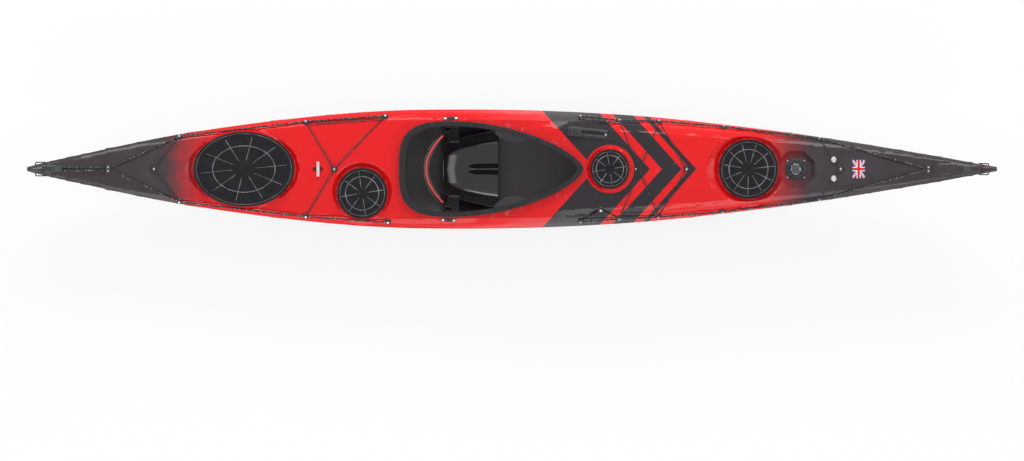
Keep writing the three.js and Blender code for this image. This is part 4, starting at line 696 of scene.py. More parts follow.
class Shape:
    """A piece under construction, built up from closed forms that each have a finish."""

    # Facets round a ring's own thickness, and round and up a ball
    ring_sides: int = 8
    ball_facets: tuple[int, int] = (24, 14)
    # A block's edges are rounded by no more than its least size over this
    least_over: float = 2.2
    # A path whose upward share is over this runs straight up
    straight_up: float = 0.99

    def __init__(self, bm: BMesh | None = None) -> None:
        """Starts a piece.

        Args:
            bm: a mesh that becomes the piece as it is, or None for an empty piece.
        """
        self.bm = bm
        if bm is None:
            self.bm = bmesh.new()
            self.bm.verts.layers.float.new(ALONG)

    def adopt(self, part: BMesh, place: Matrix, finish: int) -> None:
        """Cleans a closed form and adds it at its place.

        Args:
            part: the form, which is freed.
            place: where it goes.
            finish: the number of its finish in the piece's list.
        """
        bmesh.ops.remove_doubles(part, verts=part.verts, dist=WELD)
        bmesh.ops.recalc_face_normals(part, faces=part.faces)
        bmesh.ops.transform(part, matrix=place, verts=part.verts)
        for face in part.faces:
            face.material_index = finish
        mesh = bpy.data.meshes.new("part")
        part.to_mesh(mesh)
        part.free()
        self.bm.from_mesh(mesh)
        bpy.data.meshes.remove(mesh)

    def turn(self, profile: Sequence[Pair], steps: int, place: Matrix, finish: int = 0) -> None:
        """Turns a profile of (radius, height) pairs about its z axis.

        Args:
            profile: the outline, from and back to the axis or closed on itself.
            steps: how many facets go round.
            place: where the axis stands.
            finish: the number of its finish.
        """
        part = bmesh.new()
        verts = [part.verts.new((radius, 0.0, height)) for radius, height in profile]
        edges = [part.edges.new(pair) for pair in zip(verts, verts[1:])]
        turn_round(part, [*verts, *edges], steps)
        self.adopt(part, place, finish)

    def ring(self, radius: float, thickness: float, steps: int, place: Matrix, finish: int = 0) -> None:
        """Adds a round ring that lies flat.

        Args:
            radius: from its axis to the middle of its thickness.
            thickness: how thick it is.
            steps: how many facets go round.
            place: where its middle stands.
            finish: the number of its finish.
        """
        part = bmesh.new()
        lay = Matrix.Translation((radius, 0, 0)) @ Matrix.Rotation(math.pi / 2, 4, "X")
        bmesh.ops.create_circle(part, segments=self.ring_sides, radius=thickness / 2, matrix=lay)
        turn_round(part, [*part.verts, *part.edges], steps)
        self.adopt(part, place, finish)

    def block(
        self, size: Sequence[float], place: Matrix, finish: int = 0, round_off: float = 0.001,
        segments: int = 2,
    ) -> None:
        """Adds a block with rounded edges.

        Args:
            size: its length, width and height.
            place: where its middle stands.
            finish: the number of its finish.
            round_off: how far its edges are rounded.
            segments: how many facets round an edge.
        """
        part = bmesh.new()
        bmesh.ops.create_cube(part, size=1.0, matrix=Matrix.Diagonal((*size, 1.0)))
        offset = min(round_off, min(size) / self.least_over)
        bmesh.ops.bevel(
            part, geom=part.edges[:], offset=offset, segments=segments, affect="EDGES", profile=0.5,
            material=-1,
        )
        self.adopt(part, place, finish)

    def ball(self, radius: float, place: Matrix, finish: int = 0) -> None:
        """Adds a ball.

        Args:
            radius: its radius.
            place: where its middle stands, with any stretch.
            finish: the number of its finish.
        """
        part = bmesh.new()
        around, up = self.ball_facets
        bmesh.ops.create_uvsphere(part, u_segments=around, v_segments=up, radius=radius)
        self.adopt(part, place, finish)

    def sheet(self, counts: tuple[int, int], point: Any, wall: float, finish: int = 0) -> None:
        """Adds a curved sheet with a wall.

        Args:
            counts: how many faces it has along and across.
            point: gives a corner's place from its shares along and across.
            wall: the thickness, laid to the inside.
            finish: the number of its finish.
        """
        part = bmesh.new()
        bmesh.ops.create_grid(part, x_segments=counts[0], y_segments=counts[1], size=0.5)
        for vert in part.verts:
            vert.co = point(vert.co.x + 0.5, vert.co.y + 0.5)
        bmesh.ops.recalc_face_normals(part, faces=part.faces)
        bmesh.ops.solidify(part, geom=part.faces[:], thickness=wall)
        self.adopt(part, Matrix.Identity(4), finish)

    def sweep(
        self, path: Sequence[Vector], radius: float, sides: int = 8, finish: int = 0,
        closed: bool = False,
    ) -> None:
        """Draws a round cord along a path and keeps its length in the attribute that a braid reads.

        Args:
            path: the points of its middle line.
            radius: half its thickness.
            sides: how many facets go round it.
            finish: the number of its finish.
            closed: whether its end meets its start.
        """
        along = self.bm.verts.layers.float[ALONG]
        count = len(path)
        places = []
        for i, point in enumerate(path):
            before = path[(i - 1) % count] if closed else path[max(i - 1, 0)]
            after = path[(i + 1) % count] if closed else path[min(i + 1, count - 1)]
            ahead = (after - before).normalized()
            aside = UP.cross(ahead) if abs(ahead.z) < self.straight_up else Vector((0, 1, 0))
            places.append(axes_at(point, aside, ahead))
        first = bmesh.ops.create_circle(self.bm, segments=sides, radius=radius, matrix=places[0])["verts"]
        first_edges = list({edge for vert in first for edge in vert.link_edges})
        edges, faces, travelled = first_edges, [], 0.0
        for i in range(1, count):
            made = bmesh.ops.extrude_edge_only(self.bm, edges=edges)["geom"]
            verts = [item for item in made if isinstance(item, BMVert)]
            fresh = set(verts)
            bmesh.ops.transform(self.bm, matrix=places[i] @ places[i - 1].inverted(), verts=verts)
            travelled += (path[i] - path[i - 1]).length
            for vert in verts:
                vert[along] = travelled
            faces += [item for item in made if isinstance(item, BMFace)]
            edges = [
                item for item in made
                if isinstance(item, BMEdge) and fresh.issuperset(item.verts)
            ]
        if closed:
            faces += bmesh.ops.bridge_loops(self.bm, edges=[*edges, *first_edges])["faces"]
        else:
            for end in (first_edges, edges):
                faces += bmesh.ops.edgeloop_fill(self.bm, edges=end)["faces"]
        bmesh.ops.recalc_face_normals(self.bm, faces=faces)
        for face in faces:
            face.material_index = finish

    def done(
        self, name: str, finishes: Sequence[Finish], body: str, replaces: Sequence[str] = (),
        crease: float = math.radians(38),
    ) -> Object:
        """Makes the object, dresses it and lets it ride.

        Args:
            name: the piece's name.
            finishes: its finishes.
            body: the body it rides on.
            replaces: the CAD nodes it stands for.
            crease: the angle above which an edge stays sharp.

        Returns:
            The new object.
        """
        mesh = bpy.data.meshes.new(name)
        self.bm.to_mesh(mesh)
        self.bm.free()
        mesh.shade_smooth()
        mesh.set_sharp_from_angle(angle=crease)
        for finish in finishes:
            mesh.materials.append(finish.material())
        piece = bpy.data.objects.new(name, mesh)
        bpy.context.scene.collection.objects.link(piece)
        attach(piece, body)
        if replaces:
            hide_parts(*replaces)
        LOG.info("%s: %d faces on %s", name, len(mesh.polygons), body)
        return piece


def copied(node: str) -> BMesh:
    """Copies a CAD node's mesh and merges its points.

    Args:
        node: the CAD node.

    Returns:
        The copy.
    """
    bm = bmesh.new()
    bm.from_mesh(frame["nodes"][node].data)
    bmesh.ops.remove_doubles(bm, verts=bm.verts, dist=WELD)
    return bm


def sharp_edges(bm: BMesh, crease: float) -> list[BMEdge]:
    """Returns the edges at which two faces meet at more than the crease angle."""
    return [edge for edge in bm.edges if len(edge.link_faces) == 2 and edge.calc_face_angle(0.0) > crease]


def round_edges(bm: BMesh, crease: float, reach: float) -> None:
    """Rounds the edges at which two faces meet at more than the crease angle.

    Args:
        bm: the mesh.
        crease: the angle.
        reach: how far from an edge its rounding starts.
    """
    bmesh.ops.bevel(
        bm, geom=sharp_edges(bm, crease), offset=reach, segments=2, affect="EDGES", profile=0.5,
        material=-1, clamp_overlap=True,
    )


def divide_finely(piece: Object, levels: int = 1) -> None:
    """Rounds a piece by dividing its faces."""
    rounding = piece.modifiers.new("rounding", "SUBSURF")
    rounding.levels = rounding.render_levels = levels


def evaluated(piece: Object) -> Mesh:
    """Returns a piece's mesh as its modifiers leave it."""
    return bpy.data.meshes.new_from_object(piece.evaluated_get(bpy.context.evaluated_depsgraph_get()))


def softened(
    node: str, finish: Finish, round_off: float, crease: float = math.radians(30), suffix: str = "moulded"
) -> Object:
    """Replaces a CAD node by a copy with rounded edges.

    Args:
        node: the CAD node.
        finish: its finish.
        round_off: how far its edges are rounded.
        crease: the angle above which an edge is rounded.
        suffix: what its name ends in.

    Returns:
        The new object.
    """
    shape = Shape()
    part = copied(node)
    bmesh.ops.dissolve_limit(part, angle_limit=FLAT, verts=part.verts, edges=part.edges)
    round_edges(part, crease, round_off)
    shape.adopt(part, Matrix.Identity(4), 0)
    return shape.done(f"{node}_{suffix}", [finish], body_for(node), [node])


def inflated(
    part: BMesh, voxel: float, pressure: float, cap: float, frames: int = 20, quality: int = 3
) -> BMesh:
    """Blows a closed form up as cloth.

    Args:
        part: the form, which is freed.
        voxel: how fine the cloth is.
        pressure: how hard it is blown up.
        cap: how far a point may move.
        frames: how many steps the simulation takes.
        quality: how many parts it cuts a step into.

    Returns:
        The swollen form.
    """
    scene = bpy.context.scene
    mesh = bpy.data.meshes.new("cloth")
    part.to_mesh(mesh)
    part.free()
    cloth = bpy.data.objects.new("cloth", mesh)
    scene.collection.objects.link(cloth)
    remesh = cloth.modifiers.new("remesh", "REMESH")
    remesh.mode = "VOXEL"
    remesh.voxel_size = voxel
    cloth.data = evaluated(cloth)
    cloth.modifiers.clear()
    start = [vert.co.copy() for vert in cloth.data.vertices]
    settings = cloth.modifiers.new("cloth", "CLOTH").settings
    settings.use_pressure = True
    settings.uniform_pressure_force = pressure
    settings.effector_weights.gravity = 0.0
    settings.quality = quality
    for number in range(1, frames + 1):
        scene.frame_set(number)
    swollen = evaluated(cloth)
    scene.frame_set(1)
    for vert, before in zip(swollen.vertices, start):
        moved = vert.co - before
        if moved.length > cap:
            vert.co = before + moved * (cap / moved.length)
    bm = bmesh.new()
    bm.from_mesh(swollen)
    bpy.data.objects.remove(cloth)
    return bm


# The boat's shells


@dataclass
class Shell:
    """A moulded shell, cut finely and smoothed between its sharp edges."""

    node: str
    outer: Finish
    inner: Finish
    # How far apart its cuts are along, across and up
    step: float = 0.04
    step_across: float = 0.03
    step_up: float = 0.03
    # Edges sharper than the crease stay, and the rest is smoothed so many times
    crease: float = math.radians(30)
    rounds: int = 40
    # Outer faces look away from an axis at this share of the local height, which stops short of the tips
    axis_share: float = 1.0
    tip_reach: float = 0.35
    # A face that looks up by more than this is an outer one too, and over 1 none is
    open_up: float = 2.0
    # How far smoothed faces are moved out of the wall, outside and inside, so that it stays thick
    swell: float = 0.0
    swell_in: float = 0.0012
    # Edges are drawn fair so many times, where they bend by less than a real corner
    fair_rounds: int = 8
    fair_bend: float = math.radians(14)
    # Nodes whose beds keep their form, and how far round them the shell does
    still_nodes: tuple[str, ...] = ()
    still_reach: float = 0.05

    def build(self) -> Object:
        """Makes the shell.

        Returns:
            The new object.
        """
        bm = copied(self.node)
        low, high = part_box(self.node)
        for axis, step in enumerate((self.step, self.step_across, self.step_up)):
            self.cut(bm, axis, low[axis], high[axis], step)
        pinned = {vert for edge in sharp_edges(bm, self.crease) for vert in edge.verts}
        still = self.beds(bm)
        free = [vert for vert in bm.verts if vert not in pinned and vert not in still]
        self.fair(bm, still)
        for _ in range(self.rounds):
            bmesh.ops.smooth_vert(bm, verts=free, factor=0.5, use_axis_y=True, use_axis_z=True)
        bm.normal_update()
        self.paint(bm, low.x, high.x)
        for vert in free:
            if len({face.material_index for face in vert.link_faces}) == 1:
                inside = vert.link_faces[0].material_index == 1
                vert.co += vert.normal * (self.swell_in if inside else self.swell)
        finishes = [self.outer, self.inner]
        name = f"{self.node}_moulding"
        return Shape(bm).done(name, finishes, body_for(self.node), [self.node], self.crease)

    def beds(self, bm: BMesh) -> set[BMVert]:
        """Finds the points that stay where they are, in and round the sunk beds.

        Args:
            bm: the shell's mesh.

        Returns:
            The points.
        """
        found: set[BMVert] = set()
        for node in self.still_nodes:
            low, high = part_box(node)
            centre, half = (low + high) / 2, (high - low) / 2
            found.update(vert for vert in bm.verts if self.near(vert.co - centre, half))
        return found

    def slice_at(self, x: float) -> int:
        """Returns the number of the slice of the boat that a place falls in."""
        return round(x / self.step / 2)

    def paint(self, bm: BMesh, stern: float, bow: float) -> None:
        """Gives every face the outer or the inner finish.

        Args:
            bm: the shell's mesh.
            stern: where the shell starts.
            bow: where it ends.
        """
        slices: dict[int, list[float]] = {}
        for vert in bm.verts:
            slices.setdefault(self.slice_at(vert.co.x), []).append(vert.co.z)
        for face in bm.faces:
            middle = face.calc_center_median()
            heights = slices[self.slice_at(middle.x)]
            axis = min(heights) + (max(heights) - min(heights)) * self.axis_share
            along = min(max(middle.x, stern + self.tip_reach), bow - self.tip_reach)
            outwards = middle - Vector((along, 0.0, axis))
            outer = face.normal.dot(outwards) > 0 or face.normal.z > self.open_up
            face.material_index = 0 if outer else 1

    def fair(self, bm: BMesh, still: set[BMVert]) -> None:
        """Draws the shell's long edges into smooth curves, and keeps their real corners.

        Args:
            bm: the shell's mesh.
            still: the points that stay where they are.
        """
        beside: dict[BMVert, list[BMVert]] = {}
        for edge in sharp_edges(bm, self.crease):
            for vert in edge.verts:
                beside.setdefault(vert, []).append(edge.other_vert(vert))
        for _ in range(self.fair_rounds):
            moves = {}
            for vert, others in beside.items():
                if len(others) != 2 or vert in still:
                    continue
                before, after = vert.co - others[0].co, others[1].co - vert.co
                if min(before.length, after.length) > WELD and before.angle(after) < self.fair_bend:
                    moves[vert] = (others[0].co + others[1].co) / 2
            for vert, place in moves.items():
                vert.co = vert.co.lerp(place, 0.5)

    def near(self, away: Vector, half: Vector) -> bool:
        """Returns whether a point is so near a sunk bed that smoothing would spoil the bed's wall."""
        along, across = away.x / (half.x + self.still_reach), away.y / (half.y + self.still_reach)
        return math.hypot(along, across) < 1

    def cut(self, bm: BMesh, axis: int, low: float, high: float, step: float) -> None:
        """Cuts the mesh by evenly spaced planes across one axis.

        Args:
            bm: the shell's mesh.
            axis: the number of the axis.
            low: where the mesh starts on it.
            high: where it ends.
            step: how far apart the planes are, about.
        """
        count = round((high - low) / step)
        for i in range(1, count):
            place = low + (high - low) * i / count
            geom = [*bm.verts, *bm.edges, *bm.faces]
            point = [place if j == axis else 0.0 for j in range(3)]
            normal = [1.0 if j == axis else 0.0 for j in range(3)]
            bmesh.ops.bisect_plane(bm, geom=geom, dist=WELD, plane_co=point, plane_no=normal)


class DeckSurface:
    """The deck's upper face, asked for its height and slope at a point."""

    # Rays start this high, and over a hole the nearest deck is looked for at its usual height
    ray_start: float = 1.0
    usual_height: float = 0.3

    def __init__(self, deck: Object) -> None:
        """Keeps a search tree of the deck's mesh.

        Args:
            deck: the deck's object.
        """
        bm = bmesh.new()
        bm.from_mesh(deck.data)
        self.tree = BVHTree.FromBMesh(bm)
        bm.free()

    def height(self, x: float, y: float) -> float:
        """Finds the deck's height, or that of the nearest deck where there is a hole.

        Args:
            x: place along the boat.
            y: place across it.

        Returns:
            The height.
        """
        hit, *_ = self.tree.ray_cast(Vector((x, y, self.ray_start)), Vector((0, 0, -1)))
        if hit is None:
            hit, *_ = self.tree.find_nearest(Vector((x, y, self.usual_height)))
        return hit.z

    def frame(self, x: float, y: float, reach: float = 0.012) -> Matrix:
        """Finds axes that lie on the deck at a point, with x towards the bow.

        Args:
            x: place along the boat.
            y: place across it.
            reach: how far away the slope is measured.

        Returns:
            The frame as a matrix.
        """
        run = (self.height(x + reach, y) - self.height(x - reach, y)) / (2 * reach)
        lean = (self.height(x, y + reach) - self.height(x, y - reach)) / (2 * reach)
        point, bow = Vector((x, y, self.height(x, y))), Vector((1.0, 0.0, 0.0))
        return axes_at(point, bow, Vector((-run, -lean, 1.0)))


# Hatches


@dataclass
class HatchLid:
    """A rubber lid: a skirt, a rim band, a sunk panel with ribs and a hub; the ribs, the ring and a line at
    the rim's edge are painted pale as highlights.
    """

    node: str
    ribs: int
    # Where the ring and the hub are, as shares of the radius, and how far the first rib is turned
    ring_share: float = 0.62
    hub_share: float = 0.2
    rib_turn: float = 0.2
    rim: float = 0.014
    sink: float = 0.0022
    rib_width: float = 0.0034
    rib_height: float = 0.0044
    rib_lift: float = 0.0006
    rib_round: float = 0.001
    # Ribs start this far outside the hub and end at this share of the radius
    rib_gap: float = 0.03
    rib_end: float = 0.86
    # The thin line at the rim's edge, painted pale as a highlight, is this thick
    edge_highlight_wide: float = 0.0024
    # The rim's height as a share of the crown's, for lids over a radius and for the others
    wide_from: float = 0.2
    wide_shoulder: float = 0.74
    shoulder: float = 0.84
    panel_shares: tuple[float, ...] = (0.0, 0.15, 0.3, 0.45, 0.6, 0.75)
    # How far the step from panel to rim leans, inwards below and outwards above
    step_lean: Pair = (0.001, 0.0015)
    # The rim's outer edge as (inset from the radius, drop from its top)
    rim_edge: Pairs = ((0.004, 0.0), (0.0012, 0.0014), (0.0, 0.004))
    # The skirt's foot as (inset from the radius, height)
    foot: Pairs = ((0.0, 0.003), (0.001, 0.0), (0.005, 0.0))
    skirt_wall: float = 0.006
    under_share: float = 0.7
    # The hub's outline as (share of its radius, height over the panel)
    hub_outline: Pairs = (
        (0.0, -0.004), (1.0, -0.004), (1.0, 0.001), (0.9, 0.0026), (0.0, 0.0032),
    )
    hub_facets: int = 40
    # The finger ridge's length and width as shares of the hub's radius, its height and its place
    ridge_shares: Pair = (1.1, 0.4)
    ridge_height: float = 0.003
    ridge_lift: float = 0.0036
    ridge_round: float = 0.0014
    steps: int = 72
    # Read from the CAD node's box
    radius: float = field(default=0.0, init=False)
    top: float = field(default=0.0, init=False)

    def build(self) -> Object:
        """Makes the lid.

        Returns:
            The new object.
        """
        low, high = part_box(self.node)
        half, middle = (high - low) / 2, (low + high) / 2
        self.radius, self.top = half.x, high.z - low.z
        wide = Matrix.Translation((middle.x, middle.y, low.z))
        place = wide @ Matrix.Diagonal((1.0, half.y / half.x, 1.0, 1.0))
        shape = Shape()
        shape.turn(self.profile(), self.steps, place)
        # The ring and a thin line at the rim's edge take the pale rib finish, a painted highlight, as the
        # ribs do
        ring, edge = self.ring_share, 1 - self.rim / self.radius
        for share, thickness, height in (
            (ring, self.rib_height, self.panel(ring)), (edge, self.edge_highlight_wide, self.surface(edge)),
        ):
            lift = Matrix.Translation((0, 0, height))
            shape.ring(share * self.radius, thickness, self.steps, place @ lift, 1)
        for i in range(self.ribs):
            turn = Matrix.Rotation(math.tau * (i + self.rib_turn) / self.ribs, 4, "Z")
            self.rib(shape, place @ turn)
        self.hub(shape, place)
        return shape.done(f"{self.node}_ribbed", [RUBBER, RIB_HIGHLIGHT], body_for(self.node), [self.node])

    def surface(self, share: float) -> float:
        """Returns the height of the smooth crown at a share of the radius."""
        rim_height = self.top * (self.wide_shoulder if self.radius > self.wide_from else self.shoulder)
        return rim_height + (self.top - rim_height) * (1 - share * share)

    def panel(self, share: float) -> float:
        """Returns the height of the sunk panel at a share of the radius."""
        return self.surface(share) - self.sink

    def profile(self) -> list[Pair]:
        """Draws the lid's outline, from the middle of its top round to the middle below.

        Returns:
            Its (radius, height) pairs.
        """
        r, rim_top = self.radius, self.surface(1.0)
        inner = 1 - self.rim / r
        below, above = self.step_lean
        under = rim_top * self.under_share
        return [
            *((share * r, self.panel(share)) for share in self.panel_shares),
            (inner * r - below, self.panel(inner)), (inner * r + above, rim_top),
            *((r - inset, rim_top - drop) for inset, drop in self.rim_edge),
            *((r - inset, height) for inset, height in self.foot),
            (r - self.skirt_wall, under), (0.0, under),
        ]

    def rib(self, shape: Shape, place: Matrix) -> None:
        """Adds one rib from the hub to the rim.

        Args:
            shape: the lid.
            place: where the lid's axis stands, turned so that x runs along the rib.
        """
        start, end = self.hub_share + self.rib_gap, self.rib_end
        heights = self.panel(start), self.panel(end)
        length = (end - start) * self.radius
        tilt = Matrix.Rotation(math.atan2(heights[0] - heights[1], length), 4, "Y")
        out = (start + end) / 2 * self.radius
        middle = Matrix.Translation((out, 0, sum(heights) / 2 + self.rib_lift))
        size = (length, self.rib_width, self.rib_height)
        # The rib takes finish 1, the pale rib finish: a painted highlight
        shape.block(size, place @ middle @ tilt, 1, self.rib_round)

    def hub(self, shape: Shape, place: Matrix) -> None:
        """Adds the raised disc in the middle and the finger ridge on it.

        Args:
            shape: the lid.
            place: where the lid's axis stands.
        """
        r = self.hub_share * self.radius
        z = self.panel(self.hub_share)
        outline = [(r * share, z + height) for share, height in self.hub_outline]
        shape.turn(outline, self.hub_facets, place)
        ridge = Matrix.Translation((0, 0, z + self.ridge_lift))
        size = (*(r * share for share in self.ridge_shares), self.ridge_height)
        shape.block(size, place @ ridge, round_off=self.ridge_round)


@dataclass
class Hatches:
    """The four lids, their necks and the small hatch's tub."""

    lids: tuple[HatchLid, ...] = (
        HatchLid("stern_hatch_lid", ribs=10),
        HatchLid("day_hatch_lid", ribs=8, ring_share=0.66),
        HatchLid("pod_hatch_lid", ribs=8, ring_share=0.7, hub_share=0.24, rim=0.012),
        HatchLid("bow_hatch_lid", ribs=11, ring_share=0.66, hub_share=0.22),
    )
    necks: tuple[str, ...] = ("stern_hatch_neck", "day_hatch_neck", "bow_hatch_neck", "pod_tub")
    neck_round: float = 0.001

    def build(self) -> None:
        """Makes the lids and rounds the necks' edges."""
        for lid in self.lids:
            lid.build()
        for neck in self.necks:
            softened(neck, PLASTIC, self.neck_round)


# Cockpit


# A pan-head bolt with a sunk socket, as shares of its head's radius and height
BOLT_OUTLINE = ((0.0, 0.3), (0.45, 0.3), (0.45, 1.0), (0.72, 1.0), (1.0, 0.5), (1.0, 0.0), (0.0, 0.0))
# How high a bolt's head is, as a share of its radius, and how many facets go round it
BOLT_HEIGHT = 0.62
BOLT_FACETS = 18


def add_bolt(shape: Shape, place: Matrix, radius: float, finish: int = 1) -> None:
    """Adds a pan-head bolt.

    Args:
        shape: the piece it is part of.
        place: where its head stands.
        radius: the head's radius.
        finish: the number of its finish.
    """
    height = radius * BOLT_HEIGHT
    outline = [(radius * across, height * up) for across, up in BOLT_OUTLINE]
    shape.turn(outline, BOLT_FACETS, place, finish)


@dataclass
class Coaming:
    """The cockpit's rim, rounded and smoothed, with the seat's bolt plates beside it."""

    round_off: float = 0.0022
    # Triangles are joined over bends under the first angle, into faces skewed by less than the second
    join: Pair = (math.radians(40), math.radians(80))
    crease: float = math.radians(35)
    shade_crease: float = math.radians(60)
    divisions: int = 2
    strip: Triple = (0.0325, 0.021, 0.002)
    # A washer's outline as (radius, height)
    washer: Pairs = (
        (0.0, 0.0), (0.0115, 0.0), (0.0115, 0.0016), (0.009, 0.0026), (0.0, 0.0026),
    )
    washer_facets: int = 24
    bolt: float = 0.0058
    bolt_lift: float = 0.0024
    bolt_apart: float = 0.056
    plate_places: Pairs = ((-0.311, 0.256), (-0.322, -0.258))

    def build(self, deck: DeckSurface) -> None:
        """Makes the rim and its plates.

        Args:
            deck: the deck that the plates lie on.
        """
        part = copied("coaming")
        bend, skew = self.join
        bmesh.ops.join_triangles(
            part, faces=part.faces, angle_face_threshold=bend, angle_shape_threshold=skew,
        )
        round_edges(part, self.crease, self.round_off)
        shape = Shape()
        shape.adopt(part, Matrix.Identity(4), 0)
        rim = shape.done("coaming_rim", [COAMING], "boat", ["coaming"], self.shade_crease)
        divide_finely(rim, self.divisions)
        for (x, y), side in zip(self.plate_places, Side):
            self.bolt_plate(deck.frame(x, y), side)

    def bolt_plate(self, place: Matrix, side: Side) -> None:
        """Adds two washers with a woven strip between them, under the seat's two bolts.

        Args:
            place: axes on the deck where they lie.
            side: the side of the boat.
        """
        shape = Shape()
        lift = Matrix.Translation((0, 0, self.strip[2] / 2))
        shape.block(self.strip, place @ lift, 1)
        for end in (-1, 1):
            spot = place @ Matrix.Translation((end * self.bolt_apart / 2, 0, 0))
            shape.turn(self.washer, self.washer_facets, spot)
            add_bolt(shape, spot @ Matrix.Translation((0, 0, self.bolt_lift)), self.bolt, 2)
        shape.done(f"seat_bolt_plate_{side.name.lower()}", [PLASTIC, WEBBING, STEEL], "boat")


@dataclass
class Seat:
    """The seat pan with its two hollows and middle ridge, and the hangers that carry it."""

    stern: float = -0.3507
    length: float = 0.281
    rear_half: float = 0.119
    front_half: float = 0.196
    pan: float = 0.034
    back_rise: float = 0.062
    front_rise: float = 0.040
    side_rise: float = 0.092
    ridge_rise: float = 0.020
    ridge_share: float = 0.1
    hollow: float = 0.006
    # Each hollow's middle and reach, as shares across from the ridge and along from the stern
    hollow_across: Pair = (0.45, 0.28)
    hollow_along: Pair = (0.42, 0.3)
    wall: float = 0.004
    hanger_place: float = -0.2995
    hanger_length: float = 0.066
    hanger_wall: float = 0.004
    # How far the hanger starts inside and under the pan's edge, and its bend under the top
    hanger_foot: Pair = (0.008, 0.003)
    hanger_bend: float = 0.04
    counts: tuple[int, int] = (36, 60)
    hanger_counts: tuple[int, int] = (6, 18)
    crease: float = math.radians(50)

    def point(self, along: float, across: float) -> Vector:
        """Finds a point of the pan.

        Args:
            along: its share from the stern end to the bow end.
            across: its share from starboard to port.

        Returns:
            The point.
        """
        aside = 2 * across - 1
        half = self.rear_half + (self.front_half - self.rear_half) * along ** (2 / 3)
        ridge = math.exp(-((aside / self.ridge_share) ** 2)) * eased(3 * along - 1)
        dish_aside = (abs(aside) - self.hollow_across[0]) / self.hollow_across[1]
        dish_along = (along - self.hollow_along[0]) / self.hollow_along[1]
        dish = math.exp(-(dish_aside ** 2) - dish_along ** 2)
        height = self.pan + self.back_rise * (1 - along) ** 4 + self.front_rise * along ** 2
        height += self.side_rise * abs(aside) ** 5 * (1 + along) / 2 + self.ridge_rise * ridge
        return Vector((self.stern + self.length * along, aside * half, height - self.hollow * dish))

    def build(self) -> None:
        """Makes the pan and its hangers as one piece."""
        shape = Shape()
        shape.sheet(self.counts, self.point, -self.wall)
        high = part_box("seat")[1]
        for side in Side:
            self.hanger(shape, side, high.y - self.hanger_wall / 2, high.z)
        divide_finely(shape.done("seat_pan", [SEAT], "boat", ["seat"], self.crease))

    def hanger(self, shape: Shape, side: Side, reach: float, top: float) -> None:
        """Adds the plate from the pan's edge up to the coaming.

        Args:
            shape: the seat.
            side: the side of the boat.
            reach: how far out the plate's upper part is.
            top: where it ends.
        """
        edge = self.point((self.hanger_place - self.stern) / self.length, 1.0)
        inside, under = self.hanger_foot
        foot = [(edge.y - inside, edge.z - under), (edge.y, edge.z)]
        corners = [*foot, (reach, top - self.hanger_bend), (reach, top)]

        def point(along: float, up: float) -> Vector:
            """Finds a point of the plate.

            Args:
                along: its share from the plate's stern edge to its bow edge.
                up: its share from the foot to the top.

            Returns:
                The point.
            """
            place = up * (len(corners) - 1)
            i = min(int(place), len(corners) - 2)
            (y0, z0), (y1, z1) = corners[i], corners[i + 1]
            t = place - i
            x = self.hanger_place + (along - 0.5) * self.hanger_length
            return Vector((x, side.value * (y0 + (y1 - y0) * t), z0 + (z1 - z0) * t))

        shape.sheet(self.hanger_counts, point, self.hanger_wall)


